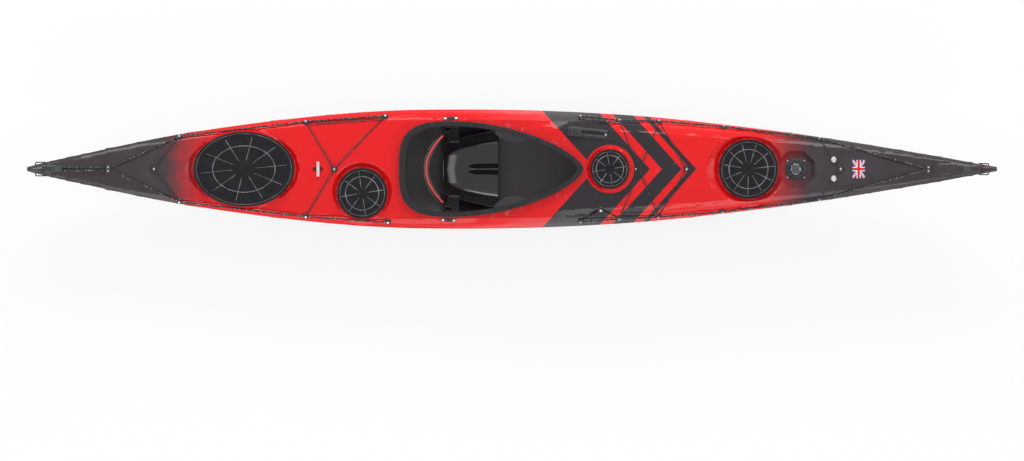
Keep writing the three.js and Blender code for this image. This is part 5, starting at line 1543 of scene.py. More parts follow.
@dataclass
class Backband:
    """The padded backrest: a crowned pad with piping, a sewn line and two straps."""

    centre: float = -0.4384
    half_width: float = 0.176
    sweep_back: float = 0.092
    height: float = 0.140
    thickness: float = 0.024
    end_height_share: float = 0.58
    end_thickness_share: float = 0.45
    piping: float = 0.0042
    # The piping's share of the way out and up, and how far it lies before the pad's middle
    piping_share: float = 0.97
    piping_out: float = 0.002
    stitch: float = 0.0018
    # The sewn line's share of the way out, its place and drop as shares up, and its height on the pad
    stitch_share: float = 0.62
    stitch_up: float = 0.25
    stitch_drop: float = 0.1
    stitch_out: float = 0.0004
    trim_steps: int = 24
    strap: Pair = (0.025, 0.003)
    # Where a strap leaves the pad, as shares across and up, and how far it bows out on its way
    strap_start: Pair = (0.96, -0.02)
    strap_bow: float = 0.004
    strap_counts: tuple[int, int] = (16, 4)
    strap_wall_share: float = 0.6
    buckle: Triple = (0.022, 0.032, 0.006)
    buckle_share: float = 0.45
    buckle_round: float = 0.002
    channels: int = 3
    channel_depth: float = 0.4
    channel_share: float = 0.035
    # How a ball becomes the pad: drawn wider, with a squarer section and ends that close within a floor
    widen: float = 1.04
    squareness: float = 2 / 3
    end_power: int = 10
    end_floor: float = 0.1
    end_slope: int = 4
    fill_up: float = 0.97
    fill_out: float = 0.8
    voxel: float = 0.006
    pressure: float = 4.0
    swell: float = 0.006
    counts: tuple[int, int] = (80, 20)
    # The CAD node's port, bow and top limits, read from its box
    limits: Vector | None = field(default=None, init=False)

    def line(self, across: float, up: float, out: float = 0.0) -> Vector:
        """Finds a point of the pad.

        Args:
            across: from -1 at starboard to 1 at port.
            up: from -1 at the lower edge to 1 at the upper.
            out: how far it lies before the pad's middle surface.

        Returns:
            The point.
        """
        taper = abs(across) ** 4
        height = self.height * (1 + (self.end_height_share - 1) * taper)
        lean = math.atan2(2 * self.sweep_back * across, self.half_width)
        x = self.centre + self.sweep_back * across ** 2 + out * math.cos(lean)
        y = across * self.half_width - out * math.sin(lean)
        return Vector((x, y, self.limits.z - self.height / 2 + up * height / 2))

    def build(self) -> None:
        """Makes the pad, then its trim and straps."""
        self.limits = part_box("backband")[1]
        pad = Shape()
        part = bmesh.new()
        around, up = self.counts
        bmesh.ops.create_uvsphere(part, u_segments=around, v_segments=up, radius=1.0)
        for vert in part.verts:
            vert.co = self.pad_point(vert.co)
        bmesh.ops.remove_doubles(part, verts=part.verts, dist=WELD)
        part = inflated(part, self.voxel, self.pressure, self.swell)
        for vert in part.verts:
            vert.co = self.sewn(vert.co)
        pad.adopt(part, Matrix.Identity(4), 0)
        cushion = pad.done("backband_pad", [PAD], "backband", ["backband"])
        divide_finely(cushion)
        self.trim()
        for side in Side:
            self.strap_piece(side)

    def trim(self) -> None:
        """Adds the piping round the pad's upper edge and the sewn line under it."""
        shares = [i / self.trim_steps * 2 - 1 for i in range(self.trim_steps + 1)]
        reach, front = self.piping_share, self.thickness / 2 + self.stitch_out
        upper = [self.line(s * reach, reach, self.piping_out) for s in shares]
        heights = [self.stitch_up - self.stitch_drop * s * s for s in shares]
        lower = [self.line(s * self.stitch_share, up, front) for s, up in zip(shares, heights)]
        shape = Shape()
        shape.sweep(upper, self.piping)
        shape.sweep(lower, self.stitch)
        shape.done("backband_piping", [PIPING], "backband")

    def pad_point(self, unit: Vector) -> Vector:
        """Turns a point of a unit ball into one of the pad.

        Args:
            unit: the ball's point.

        Returns:
            The pad's point.
        """
        across = max(min(unit.x * self.widen, 1.0), -1.0)
        ring = math.hypot(unit.y, unit.z)
        if ring < 1e-6:
            return self.line(across, 0.0)
        angle = math.atan2(unit.z, unit.y)
        closed = (1 - abs(across) ** self.end_power) ** 0.5 * (1 - self.end_floor)
        full = closed + self.end_floor * min(ring * self.end_slope, 1)
        out = math.copysign(abs(math.cos(angle)) ** self.squareness, math.cos(angle)) * full
        up = math.copysign(abs(math.sin(angle)) ** self.squareness, math.sin(angle)) * full
        thin = 1 + (self.end_thickness_share - 1) * abs(across) ** 4
        return self.line(across, up * self.fill_up, out * self.thickness / 2 * thin * self.fill_out)

    def sewn(self, point: Vector) -> Vector:
        """Draws a point of the cover in towards the pad's middle where a channel is sewn.

        Args:
            point: the cover's point.

        Returns:
            The point after sewing.
        """
        across = max(min(point.y / self.half_width, 1.0), -1.0)
        middle = self.line(across, 0.0)
        nearest = min(abs(across - (2 * (i + 1) / (self.channels + 1) - 1)) for i in range(self.channels))
        dent = self.channel_depth * math.exp(-((nearest / self.channel_share) ** 2))
        return Vector((point.x + (middle.x - point.x) * dent, point.y, point.z))

    def strap_piece(self, side: Side) -> None:
        """Adds the strap from the pad's end to the seat's hanger, with its buckle.

        Args:
            side: the side of the boat.
        """
        width, wall = self.strap
        across, up = self.strap_start
        start = self.line(side.value * across, up)
        end = Vector((self.limits.x, side.value * (self.limits.y - wall / 2), start.z))
        middle = (start + end) / 2 + Vector((0, side.value * self.strap_bow, 0))

        def point(along: float, up: float) -> Vector:
            """Returns a point of the strap from its shares along and up."""
            first, second = start.lerp(middle, along), middle.lerp(end, along)
            return first.lerp(second, along) + UP * (up - 0.5) * width

        shape = Shape()
        shape.sheet(self.strap_counts, point, wall * self.strap_wall_share)
        lay = axes_at(point(self.buckle_share, 0.5), end - start, Vector((0, side.value, 0)))
        shape.block(self.buckle, lay, 1, self.buckle_round)
        name = f"backband_strap_{side.name.lower()}"
        shape.done(name, [WEBBING, PLASTIC], "backband")


@dataclass
class Cockpit:
    """What is round the paddler: rim, seat, thigh braces, foot rests and bulkheads."""

    brace_round: float = 0.0012
    rail_round: float = 0.0012
    pedal_round: float = 0.0016
    bulkheads: tuple[str, ...] = ("bulkhead_stern", "bulkhead_day", "bulkhead_bow")
    bulkhead_round: float = 0.0012
    bulkhead_crease: float = math.radians(50)
    # The tread's ribs: how many, their length, height and thickness, and their rounding
    ribs: int = 7
    rib: Triple = (0.05, 0.0025, 0.003)
    rib_round: float = 0.0008
    # How far the tread lies inwards of the pedal's middle, and how deep its ribs sink in the face
    tread_aside: float = 0.006
    tread_sink: float = 0.002
    # The pedal's face is read this near its upper edge
    face_edge: float = 0.005

    def build(self, deck: DeckSurface) -> None:
        """Makes the cockpit's pieces.

        Args:
            deck: the deck that the bolt plates lie on.
        """
        Coaming().build(deck)
        Seat().build()
        for side in Side:
            name = side.name.lower()
            divide_finely(softened(f"thigh_brace_{name}", SEAT, self.brace_round))
            softened(f"foot_rail_{name}", PLASTIC, self.rail_round)
            softened(f"foot_pedal_{name}", PLASTIC, self.pedal_round)
            self.tread(f"foot_pedal_{name}")
        for name in self.bulkheads:
            softened(name, INSIDE, self.bulkhead_round, self.bulkhead_crease, "laminate")

    def tread(self, pedal: str) -> None:
        """Adds the grip ribs on a pedal's face, which the paddler's foot meets.

        Args:
            pedal: the pedal's node.
        """
        low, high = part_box(pedal)
        middle = (low + high) / 2
        inwards = -1 if middle.y > 0 else 1
        length, tall, deep = self.rib
        face = self.face_of(pedal, high.z)
        shape = Shape()
        for i in range(self.ribs):
            z = low.z + (high.z - low.z) * (i + 1) / (self.ribs + 1)
            place = Matrix.Translation((face - deep / 2, middle.y + inwards * self.tread_aside, z))
            shape.block((deep, length, tall), place, 0, self.rib_round)
        shape.done(f"{pedal}_tread", [RUBBER], body_for(pedal))

    def face_of(self, pedal: str, top: float) -> float:
        """Finds where a pedal's face is, for the ribs that sink in it a little.

        Args:
            pedal: the pedal's node.
            top: the height of its upper edge.

        Returns:
            The ribs' deepest place along the boat.
        """
        verts = frame["nodes"][pedal].data.vertices
        return min(vert.co.x for vert in verts if vert.co.z > top - self.face_edge) + self.tread_sink


# Skeg and its control


@dataclass
class SkegControl:
    """The track on the deck and the knob that slides along it, with the skeg itself."""

    mould_round: float = 0.0016
    blade_round: float = 0.0016
    box_round: float = 0.001
    pin_round: float = 0.0006
    casing_round: float = 0.0002
    turned_crease: float = math.radians(40)
    casing_crease: float = math.radians(80)
    # A face that looks up by more than this belongs to a node's top
    top_slope: float = 0.5
    # The track's rails: the share of the node that the trim takes, then length and place as shares of that
    trim_share: float = 0.96
    rail: Pair = (0.0035, 0.003)
    rail_share: float = 0.8
    rail_place: float = 0.06
    rail_apart: float = 0.030
    rail_lift: float = 0.001
    rail_round: float = 0.001
    # The cross rib: its place, its length along the boat, and its shares of the rails' spread and height
    rib_place: float = -0.06
    rib_length: float = 0.004
    rib_shares: Pair = (0.9, 0.8)
    bolt_place: float = 0.465
    bolt: float = 0.0045
    # The knob's hollows: length and width, how far out they are, and the ring round each
    knob_hollow: Pair = (0.015, 0.028)
    hollow_share: float = 0.72
    hollow_lift: float = 0.0004
    hollow_ring: float = 0.0022
    hollow_facets: int = 28

    def build(self) -> None:
        """Makes the control and the skeg."""
        softened("skeg_slider_track", PLASTIC, self.mould_round)
        softened("skeg_slider_knob", PLASTIC, self.mould_round)
        self.track_trim()
        self.knob_trim()
        softened("skeg_blade", BLADE, self.blade_round, self.turned_crease, "planed")
        softened("skeg_box", INSIDE, self.box_round, suffix="laminate")
        softened("skeg_pin", STEEL, self.pin_round, self.turned_crease, "turned")
        softened("skeg_cable_casing", PLASTIC, self.casing_round, self.casing_crease, "drawn")

    def top_of(self, node: str) -> Matrix:
        """Finds axes on a node's flat top, with x along the slider's travel.

        Args:
            node: the CAD node.

        Returns:
            The frame as a matrix.
        """
        faces = [face for face in frame["nodes"][node].data.polygons if face.normal.z > self.top_slope]
        flat = max(faces, key=lambda face: face.area)
        _, ahead = joint_place("skeg_slider_slide")
        middle = centre_of(node)
        reach = (Vector(flat.center) - middle).dot(flat.normal)
        return axes_at(middle + flat.normal * reach, ahead, Vector(flat.normal))

    def track_trim(self) -> None:
        """Adds the two rails, the cross rib and the end bolt to the track."""
        top = self.top_of("skeg_slider_track")
        low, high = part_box("skeg_slider_track")
        length = (high.x - low.x) * self.trim_share
        shape = Shape()
        for side in Side:
            spot = (length * self.rail_place, side.value * self.rail_apart / 2, self.rail_lift)
            size = (length * self.rail_share, *self.rail)
            shape.block(size, top @ Matrix.Translation(spot), 0, self.rail_round)
        rib = top @ Matrix.Translation((length * self.rib_place, 0, self.rail_lift))
        spread, tall = self.rib_shares
        size = (self.rib_length, self.rail_apart * spread, self.rail[1] * tall)
        shape.block(size, rib, 0, self.rail_round)
        add_bolt(shape, top @ Matrix.Translation((length * self.bolt_place, 0, 0)), self.bolt)
        shape.done("skeg_slider_rails", [PLASTIC, STEEL], "boat")

    def knob_trim(self) -> None:
        """Adds the rims of the two finger hollows on the knob."""
        top = self.top_of("skeg_slider_knob")
        long, wide = self.knob_hollow
        stretch = Matrix.Diagonal((1.0, wide / long, 1.0, 1.0))
        shape = Shape()
        for end in (-1, 1):
            ring = top @ Matrix.Translation((end * long * self.hollow_share, 0, self.hollow_lift))
            shape.ring(long / 2, self.hollow_ring, self.hollow_facets, ring @ stretch)
        shape.done("skeg_slider_grip", [PLASTIC], body_for("skeg_slider_knob"))


# Deck gear


@dataclass
class Compass:
    """The deck compass: a stepped housing, a dial card with its marks and a clear dome."""

    steps: int = 64
    card_steps: int = 48
    # The housing's outside as (inset from its radius, share of its height)
    housing_edge: Pairs = (
        (0.0, 0.0), (0.0, 0.4), (0.002, 0.52), (0.006, 0.56), (0.009, 0.94), (0.011, 1.0),
    )
    # The bowl under the dome as (gap beside the dome, share of the housing's height), and its floor
    bowl_edge: Pairs = ((0.0016, 1.0), (0.0004, 0.93))
    bowl_floor: float = 0.004
    pivot: Pair = (0.003, 0.010)
    screws: int = 4
    screw_reach: float = 0.060
    screw: float = 0.0042
    # The card's outline as shares of its radius and height
    card_outline: Pairs = (
        (0.0, 0.0), (1.0, 0.0), (1.0, 0.7), (0.8, 1.0), (0.0, 1.0),
    )
    # The marks: how many, which of them are long and by how much, their size and their outer end
    marks: int = 24
    long_every: int = 6
    longer: float = 1.7
    mark: Triple = (0.0035, 0.0006, 0.0004)
    mark_round: float = 0.0001
    mark_end: float = 0.78
    dome_wall: float = 0.002
    dome_steps: int = 12

    def build(self) -> None:
        """Makes the housing with its screws, the card and the dome."""
        place, radius, height = self.seat_of("compass_housing")
        bowl = self.seat_of("compass_dome")[1]
        outside = [(radius - inset, height * up) for inset, up in self.housing_edge]
        inside = [(bowl + gap, height * up) for gap, up in self.bowl_edge]
        floor = self.bowl_floor
        pivot = [(self.pivot[0], floor), self.pivot, (0.0, self.pivot[1])]
        profile = [(0.0, 0.0), *outside, *inside, (inside[-1][0], floor), *pivot]
        shape = Shape()
        shape.turn(profile, self.steps, place)
        for i in range(self.screws):
            turn = Matrix.Rotation(math.tau * (i + 0.5) / self.screws, 4, "Z")
            reach = turn @ Vector((self.screw_reach, 0, 0))
            add_bolt(shape, place @ Matrix.Translation(reach), self.screw)
        shape.done("compass_body", [PLASTIC, STEEL], "boat", ["compass_housing"])
        self.card()
        self.dome()

    def seat_of(self, node: str) -> tuple[Matrix, float, float]:
        """Finds where a round node stands and how large it is.

        Args:
            node: the CAD node.

        Returns:
            Its foot as a matrix, its radius and its height.
        """
        low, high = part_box(node)
        middle = (low + high) / 2
        return Matrix.Translation((middle.x, middle.y, low.z)), (high.x - low.x) / 2, high.z - low.z

    def card(self) -> None:
        """Makes the dial card with its marks."""
        place, radius, height = self.seat_of("compass_card")
        shape = Shape()
        outline = [(radius * across, height * up) for across, up in self.card_outline]
        shape.turn(outline, self.card_steps, place)
        length, width, thick = self.mark
        for i in range(self.marks):
            turn = Matrix.Rotation(math.tau * i / self.marks, 4, "Z")
            long = length * (self.longer if i % self.long_every == 0 else 1.0)
            spot = Matrix.Translation((radius * self.mark_end - long / 2, 0, height))
            shape.block((long, width, thick), place @ turn @ spot, 1, self.mark_round, 1)
        shape.done("compass_dial", [CARD, PRINT], body_for("compass_card"), ["compass_card"])

    def dome(self) -> None:
        """Makes the clear dome."""
        place, radius, height = self.seat_of("compass_dome")
        wall = self.dome_wall
        turns = [i * math.pi / 2 / self.dome_steps for i in range(self.dome_steps + 1)]
        outer = [(radius * math.cos(t), height * math.sin(t)) for t in turns]
        inner = [((radius - wall) * math.cos(t), (height - wall) * math.sin(t)) for t in reversed(turns)]
        shape = Shape()
        shape.turn([*outer, *inner, outer[0]], self.steps, place)
        shape.done("compass_lens", [DOME], "boat", ["compass_dome"])


@dataclass
class DeckTrim:
    """Small things on the foredeck: a flag on film and the two rests for the beads."""

    flag_counts: tuple[int, int] = (8, 12)
    film: float = 0.0004
    rest_start: float = 1.640
    rest_end: float = 1.765
    rest_sides: Pair = (0.081, -0.091)
    rest_half: float = 0.006
    rest_edge: float = 0.0013
    rest_steps: int = 12

    def build(self, deck: DeckSurface) -> None:
        """Makes the flag and the rests.

        Args:
            deck: the deck that they lie on.
        """
        self.flag(deck)
        shape = Shape()
        for y in self.rest_sides:
            low, high = y - self.rest_half, y + self.rest_half
            loop = [
                (self.rest_start, low), (self.rest_end, low), (self.rest_end, high), (self.rest_start, high),
            ]
            sides = [
                (a[0] + (b[0] - a[0]) * i / self.rest_steps, a[1] + (b[1] - a[1]) * i / self.rest_steps)
                for a, b in zip(loop, loop[1:] + loop[:1]) for i in range(self.rest_steps)
            ]
            path = [Vector((*spot, deck.height(*spot))) for spot in sides]
            shape.sweep(path, self.rest_edge, closed=True)
        shape.done("bead_rests", [DECK], "boat")

    def flag(self, deck: DeckSurface) -> None:
        """Lays the flag's film on the deck, where its finish has the print.

        Args:
            deck: the deck that it lies on.
        """
        middle_x, middle_y, _ = FLAG.centre
        length, width = (2 * half for half in FLAG.halves)

        def point(along: float, across: float) -> Vector:
            """Returns a point of the film from its shares along and across."""
            x, y = middle_x + (along - 0.5) * length, middle_y + (across - 0.5) * width
            return Vector((x, y, deck.height(x, y) + self.film))

        shape = Shape()
        shape.sheet(self.flag_counts, point, self.film)
        shape.done("flag_film", [FLAG], "boat")


@dataclass
class Toggles:
    """The two carrying handles on their loops of cord."""

    radius: float = 0.003
    bend: float = 0.012
    handle_round: float = 0.0022
    handle_crease: float = math.radians(25)
    # A cord leaves the hull's tip no wider than this on each side
    tip_half: float = 0.014
    # Its points, as shares of the way from the tip to the handle, and as shares of its full width
    points: Pairs = ((0.04, 0.96), (0.2, 1.0), (0.5, 1.0), (0.8, 1.0), (0.96, 1.0))
    eye_share: float = 0.7

    def build(self) -> None:
        """Makes both handles and their cords."""
        for end, sign in (("stern", -1), ("bow", 1)):
            softened(f"{end}_toggle", PLASTIC, self.handle_round, self.handle_crease, "moulded")
            self.loop(end, sign)

    def loop(self, end: str, sign: int) -> None:
        """Makes the cord that runs through the hull's tip and the handle.

        Args:
            end: the boat's end, as its nodes name it.
            sign: -1 at the stern and 1 at the bow.
        """
        node = f"{end}_toggle_cord"
        low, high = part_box(node)
        hole, _ = joint_place(f"{end}_handle_swing")
        edge = high.x if sign < 0 else low.x
        eye = Vector((edge + sign * self.radius, 0.0, high.z - self.radius))
        wide = high.y - self.radius
        half = [Vector((hole.x, min(-low.y, self.tip_half), hole.z))]
        for share, width in self.points:
            spot = hole.lerp(eye, share)
            half.append(Vector((spot.x, wide * width, spot.z)))
        half.append(Vector((eye.x, wide * self.eye_share, eye.z)))
        loop = [*half, *(Vector((spot.x, -spot.y, spot.z)) for spot in reversed(half))]
        shape = Shape()
        shape.sweep(rounded(loop, self.bend, closed=True), self.radius, closed=True)
        shape.done(f"{node}_braided", [LINE], body_for(node), [node])


def rounded(points: Sequence[Vector], reach: float, closed: bool = False, steps: int = 5) -> list[Vector]:
    """Rounds a path's corners and leaves its straight runs as they are.

    Args:
        points: the path.
        reach: how far from a corner its rounding starts.
        closed: whether the path is a loop.
        steps: how many points round a corner.

    Returns:
        The smoother path.
    """
    most = 0.45
    count = len(points)
    path = [] if closed else [points[0]]
    for i in range(0 if closed else 1, count if closed else count - 1):
        before, corner, after = points[i - 1], points[i], points[(i + 1) % count]
        start = corner.lerp(before, min(reach / (before - corner).length, most))
        end = corner.lerp(after, min(reach / (after - corner).length, most))
        for step in range(steps):
            t = step / (steps - 1)
            path.append(start.lerp(corner, t).lerp(corner.lerp(end, t), t))
    return path if closed else [*path, points[-1]]


@dataclass
class Fitting:
    """A recessed deck fitting: a low black body over the cord, with one bright bolt."""

    radius: float = 0.016
    height: float = 0.0125
    bolt: float = 0.0056
    # Its foot as (share of the radius, height), and its crown as shares of the radius and the height
    foot: Pairs = ((0.0, -0.003), (1.0, -0.003), (1.0, 0.0015), (0.94, 0.0035))
    crown: Pairs = ((0.8, 0.72), (0.62, 0.93), (0.42, 1.0), (0.36, 0.9), (0.0, 0.9))
    bolt_share: float = 0.88
    steps: int = 28

    def build(self, name: str, place: Matrix, replaces: Sequence[str] = ()) -> None:
        """Makes the fitting.

        Args:
            name: the piece's name.
            place: axes on the deck where it stands.
            replaces: the CAD nodes it stands for.
        """
        r, h = self.radius, self.height
        foot = [(r * across, up) for across, up in self.foot]
        crown = [(r * across, h * up) for across, up in self.crown]
        shape = Shape()
        shape.turn([*foot, *crown], self.steps, place)
        add_bolt(shape, place @ Matrix.Translation((0, 0, h * self.bolt_share)), self.bolt)
        shape.done(name, [PLASTIC, STEEL], "boat", replaces)


@dataclass
class Post:
    """The double fitting at each end of the deck, wider than it is long, with two bolts."""

    size: Triple = (0.026, 0.046, 0.018)
    sink: float = 0.002
    round_off: float = 0.006
    facets: int = 4
    apart: float = 0.018
    bolt: float = 0.0046
    bolt_sink: float = 0.0024

    def build(self, node: str, place: Matrix) -> None:
        """Makes the post in place of its CAD node.

        Args:
            node: the CAD node.
            place: axes on the deck where it stands.
        """
        height = self.size[2]
        middle = place @ Matrix.Translation((0, 0, height / 2 - self.sink))
        shape = Shape()
        shape.block(self.size, middle, 0, self.round_off, self.facets)
        for side in Side:
            spot = (0, side.value * self.apart / 2, height - self.bolt_sink)
            add_bolt(shape, place @ Matrix.Translation(spot), self.bolt)
        shape.done(f"{node}_double", [PLASTIC, STEEL], "boat", [node])


@dataclass
class Run:
    """One cord of the rigging, by the spots that it passes."""

    name: str
    kind: CordKind
    spots: tuple[str, ...]
    replaces: tuple[str, ...] = ()
    # How far to port of its spots the cord lies
    aside: float = 0.0


@dataclass
class Rigging:
    """The deck lines, the bungees, the fittings that hold them and the two beads."""

    # Where the fittings stand that the CAD lacks; those of the CAD join them when it is read
    spots: dict[str, Pair] = field(default_factory=lambda: {
        "stern_centre": (-1.819, 0.0), "bow_centre": (1.670, 0.0), "side_port": (0.545, 0.241),
        "side_starboard": (0.545, -0.246), "loop_starboard": (0.450, -0.204), "fore_centre": (0.886, 0.0),
        "quarter_port": (1.077, 0.209), "quarter_starboard": (1.069, -0.210), "tip_bow": (2.309, -0.008),
        "leash": (0.629, 0.0),
    })
    grip: dict[str, Pair] = field(default_factory=lambda: {"grip_stern": (-2.292, 0.0)})
    runs: tuple[Run, ...] = (
        Run("deck_line_stern_braided", CordKind.LINE, (
            "cockpit_starboard", "aft_starboard", "stern_starboard", "post_stern", "stern_port", "aft_port",
            "cockpit_port",
        ), ("deck_line_stern",)),
        Run("deck_line_bow_braided", CordKind.LINE, (
            "knee_starboard", "side_starboard", "fore_starboard", "quarter_starboard", "bow_starboard",
            "post_bow", "bow_port", "quarter_port", "fore_port", "side_port", "knee_port",
        ), ("deck_line_bow",)),
        Run("bungee_stern_covered", CordKind.BUNGEE, ("stern_port", "stern_centre", "stern_starboard"),
            ("bungee_stern",)),
        Run("bungee_aft_covered", CordKind.BUNGEE, ("aft_port", "aft_centre", "aft_starboard"),
            ("bungee_aft",)),
        Run("bungee_fore_covered", CordKind.BUNGEE, (
            "side_port", "fore_starboard", "fore_centre", "fore_port", "side_starboard",
        ), ("bungee_fore",)),
        Run("bungee_bow_covered", CordKind.BUNGEE, ("bow_port", "bow_centre", "bow_starboard"),
            ("bungee_bow",)),
        Run("bungee_quarter_covered", CordKind.BUNGEE, ("aft_centre", "cockpit_port")),
        Run("bungee_side_covered", CordKind.BUNGEE, ("aft_port", "cockpit_port"), aside=-0.013),
        Run("deck_line_knee_braided", CordKind.LINE, ("knee_port", "side_port"), aside=-0.013),
        Run("deck_line_loop_braided", CordKind.LINE, ("knee_starboard", "loop_starboard", "side_starboard")),
        Run("tow_line_port", CordKind.LINE, ("post_stern", "grip_stern"), aside=0.007),
        Run("tow_line_starboard", CordKind.LINE, ("post_stern", "grip_stern"), aside=-0.007),
    )
    samples: int = 40
    bend: float = 0.009
    bead: float = 0.0135
    bead_stretch: Triple = (1.0, 1.15, 0.9)
    small: tuple[str, ...] = ("tip_bow", "leash")
    small_fitting: Fitting = field(default_factory=lambda: Fitting(radius=0.008, height=0.006, bolt=0.004))
    # The deck's slope under a post is measured this far away
    post_reach: float = 0.02

    def build(self, deck: DeckSurface) -> None:
        """Makes the fittings, then the cords and the beads.

        Args:
            deck: the deck that they lie on.
        """
        for node in frame["nodes"]:
            kind, _, name = node.partition("_")
            if kind == "fitting":
                self.spots[name] = tuple(centre_of(node).xy)
            if kind == "post":
                x = centre_of(node).x
                self.spots[node] = (x, 0.0)
                Post().build(node, deck.frame(x, 0.0, self.post_reach))
        for name, (x, y) in self.spots.items():
            if name.startswith("post_"):
                continue
            node = f"fitting_{name}"
            cad = [node] if node in frame["nodes"] else []
            fitting = self.small_fitting if name in self.small else Fitting()
            fitting.build(f"{node}_bolted", deck.frame(x, y), cad)
        self.spots.update(self.grip)
        for run in self.runs:
            self.cord(run, deck)
        for side in Side:
            self.add_bead(side)

    def tight(self, start: Vector, end: Vector, clear: float, deck: DeckSurface) -> list[Vector]:
        """Draws a cord tight over the deck between two points.

        Args:
            start: one end.
            end: the other end.
            clear: how high its middle line runs over the deck.
            deck: the deck.

        Returns:
            The points at which it bends, with both ends.
        """
        places = [start.lerp(end, (i + 1) / (self.samples + 1)) for i in range(self.samples)]
        for place in places:
            place.z = deck.height(place.x, place.y) + clear
        kept = [start]

        def reach(point: Vector) -> float:
            """Returns how far a point is from the start, seen from above."""
            return math.hypot(point.x - start.x, point.y - start.y)

        for point in [*places, end]:
            while len(kept) > 1:
                a, b = kept[-2], kept[-1]
                if (b.z - a.z) * (reach(point) - reach(a)) >= (point.z - a.z) * (reach(b) - reach(a)):
                    break
                kept.pop()
            kept.append(point)
        return kept

    def cord(self, run: Run, deck: DeckSurface) -> None:
        """Makes one cord from its run.

        Args:
            run: the run.
            deck: the deck that it lies on.
        """
        radius, lift, clear = run.kind.value
        spots = [self.spots[spot] for spot in run.spots]
        corners = [deck.frame(x, y + run.aside) @ Vector((0, 0, lift)) for x, y in spots]
        path = [corners[0]]
        for start, end in zip(corners, corners[1:]):
            path += self.tight(start, end, clear, deck)[1:]
        shape = Shape()
        shape.sweep(rounded(path, self.bend), radius)
        finish = LINE if run.kind is CordKind.LINE else BUNGEE
        shape.done(run.name, [finish], "boat", run.replaces)

    def add_bead(self, side: Side) -> None:
        """Makes one bead on the bow bungee.

        Args:
            side: the side of the boat.
        """
        node = f"bead_{side.name.lower()}"
        stretch = Matrix.Diagonal((*self.bead_stretch, 1.0))
        shape = Shape()
        shape.ball(self.bead, Matrix.Translation(centre_of(node)) @ stretch)
        shape.done(f"{node}_turned", [BALL], "boat", [node])


# The scene


@dataclass
class Lamp:
    """A soft rectangular lamp."""

    name: str
    place: Triple
    aim: Triple
    size: Pair
    power: float
    colour: str = "#ffffff"

    def build(self) -> None:
        """Hangs the lamp."""
        data = bpy.data.lights.new(self.name, "AREA")
        data.shape = "RECTANGLE"
        data.size, data.size_y = self.size
        data.energy = self.power
        data.color = linear(self.colour)[:3]
        lamp = bpy.data.objects.new(self.name, data)
        lamp.location = self.place
        facing = Vector(self.aim) - Vector(self.place)
        lamp.rotation_euler = facing.to_track_quat("-Z", "Y").to_euler()
        bpy.context.scene.collection.objects.link(lamp)


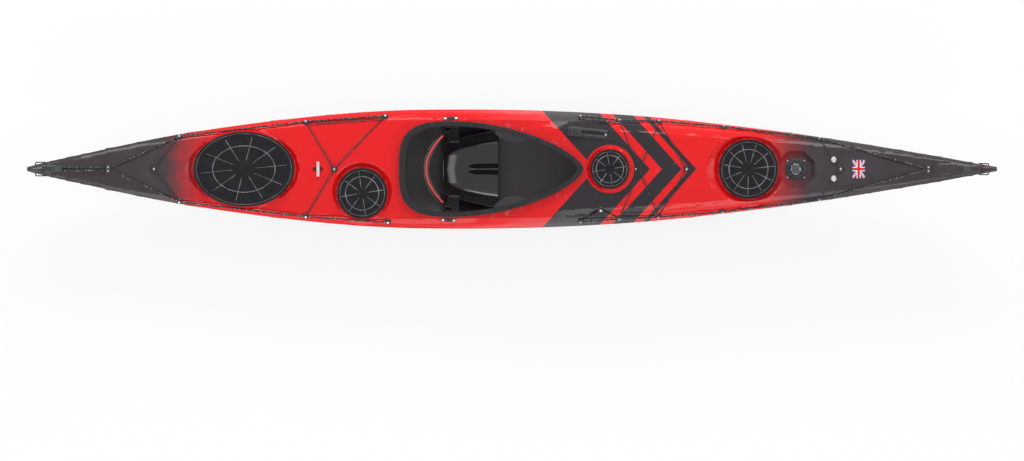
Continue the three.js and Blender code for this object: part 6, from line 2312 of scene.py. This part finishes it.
@dataclass
class Studio:
    """The pale floor, the soft light and the camera over the boat."""

    frame_width: float = 5.20
    view_centre: Pair = (0.0, -0.312)
    camera_height: float = 6.0
    camera_reach: float = 60.0
    floor_half: float = 30.0
    floor_colour: str = "#f3f3f4"
    floor_roughness: float = 0.9
    floor_clear: float = 0.002
    sky: str = "#fbfcff"
    sky_strength: float = 0.4
    floor_glow: float = 0.82
    lamps: tuple[Lamp, ...] = (
        Lamp("strip_port", (0.0, 3.6, 2.3), (0.0, 0.0, 0.1), (7.5, 1.2), 165.0),
        Lamp("panel_starboard", (0.0, -4.4, 1.7), (0.0, 0.0, 0.2), (9.0, 2.0), 150.0),
        Lamp("end_bow", (5.6, 0.0, 3.8), (0.0, 0.0, 0.2), (3.0, 4.0), 90.0),
        Lamp("end_stern", (-5.6, 0.0, 3.8), (0.0, 0.0, 0.2), (3.0, 4.0), 90.0),
    )

    def build(self) -> None:
        """Makes the floor, the sky, the lamps and the camera."""
        scene = bpy.context.scene
        scene.view_settings.view_transform = "Standard"
        self.floor()
        self.world()
        for lamp in self.lamps:
            lamp.build()
        data = bpy.data.cameras.new("camera")
        data.type = "ORTHO"
        data.ortho_scale = self.frame_width
        data.clip_end = self.camera_reach
        camera = bpy.data.objects.new("camera", data)
        camera.location = (*self.view_centre, self.camera_height)
        scene.collection.objects.link(camera)
        scene.camera = camera

    def floor(self) -> None:
        """Lays the floor just under the lowest point of the boat."""
        bm = bmesh.new()
        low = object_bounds()[0].z - self.floor_clear
        bmesh.ops.create_grid(
            bm, x_segments=1, y_segments=1, size=self.floor_half, matrix=Matrix.Translation((0, 0, low)),
        )
        mesh = bpy.data.meshes.new("floor")
        bm.to_mesh(mesh)
        bm.free()
        look = self.floor_colour, self.floor_roughness
        paper = Backdrop("floor_paper_matt", "", *look, glow=self.floor_glow)
        mesh.materials.append(paper.material())
        floor = bpy.data.objects.new("floor", mesh)
        bpy.context.scene.collection.objects.link(floor)
        floor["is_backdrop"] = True

    def world(self) -> None:
        """Lights the sky evenly, and shows it white to the eye, to gloss and through glass."""
        world = bpy.data.worlds.new("sky")
        world.use_nodes = True
        tree = world.node_tree
        ends = {0: shown_rays(tree), 2: self.sky_strength, 3: 1.0}
        strength = add_node(tree, "ShaderNodeMix", ends, data_type="FLOAT").outputs[0]
        background = tree.nodes["Background"]
        background.inputs["Color"].default_value = linear(self.sky)
        tree.links.new(strength, background.inputs["Strength"])
        bpy.context.scene.world = world


def main() -> None:
    """Builds the studio and every sub-assembly."""
    logging.basicConfig(level=logging.INFO, format="%(relativeCreated)d %(message)s")
    Backband().build()
    Studio().build()
    Shell("hull_shell", HULL, INSIDE, crease=math.radians(42)).build()
    Shell(
        "seam_band", BAND, INSIDE, step_across=0.2, step_up=0.2, rounds=10, axis_share=0.5, swell=0.0008,
    ).build()
    beds = ("stern_hatch_lid", "day_hatch_lid", "pod_hatch_lid", "bow_hatch_lid", "compass_housing")
    deck_shell = Shell(
        "deck_shell", DECK, INSIDE, crease=math.radians(14), still_nodes=beds, axis_share=0.0, open_up=0.3,
    )
    deck = DeckSurface(deck_shell.build())
    Hatches().build()
    Cockpit().build(deck)
    SkegControl().build()
    bar_round = 0.0016
    softened("security_bar", STEEL, bar_round, suffix="bent")
    Compass().build()
    DeckTrim().build(deck)
    Toggles().build()
    Rigging().build(deck)


if __name__ == "__main__":
    main()
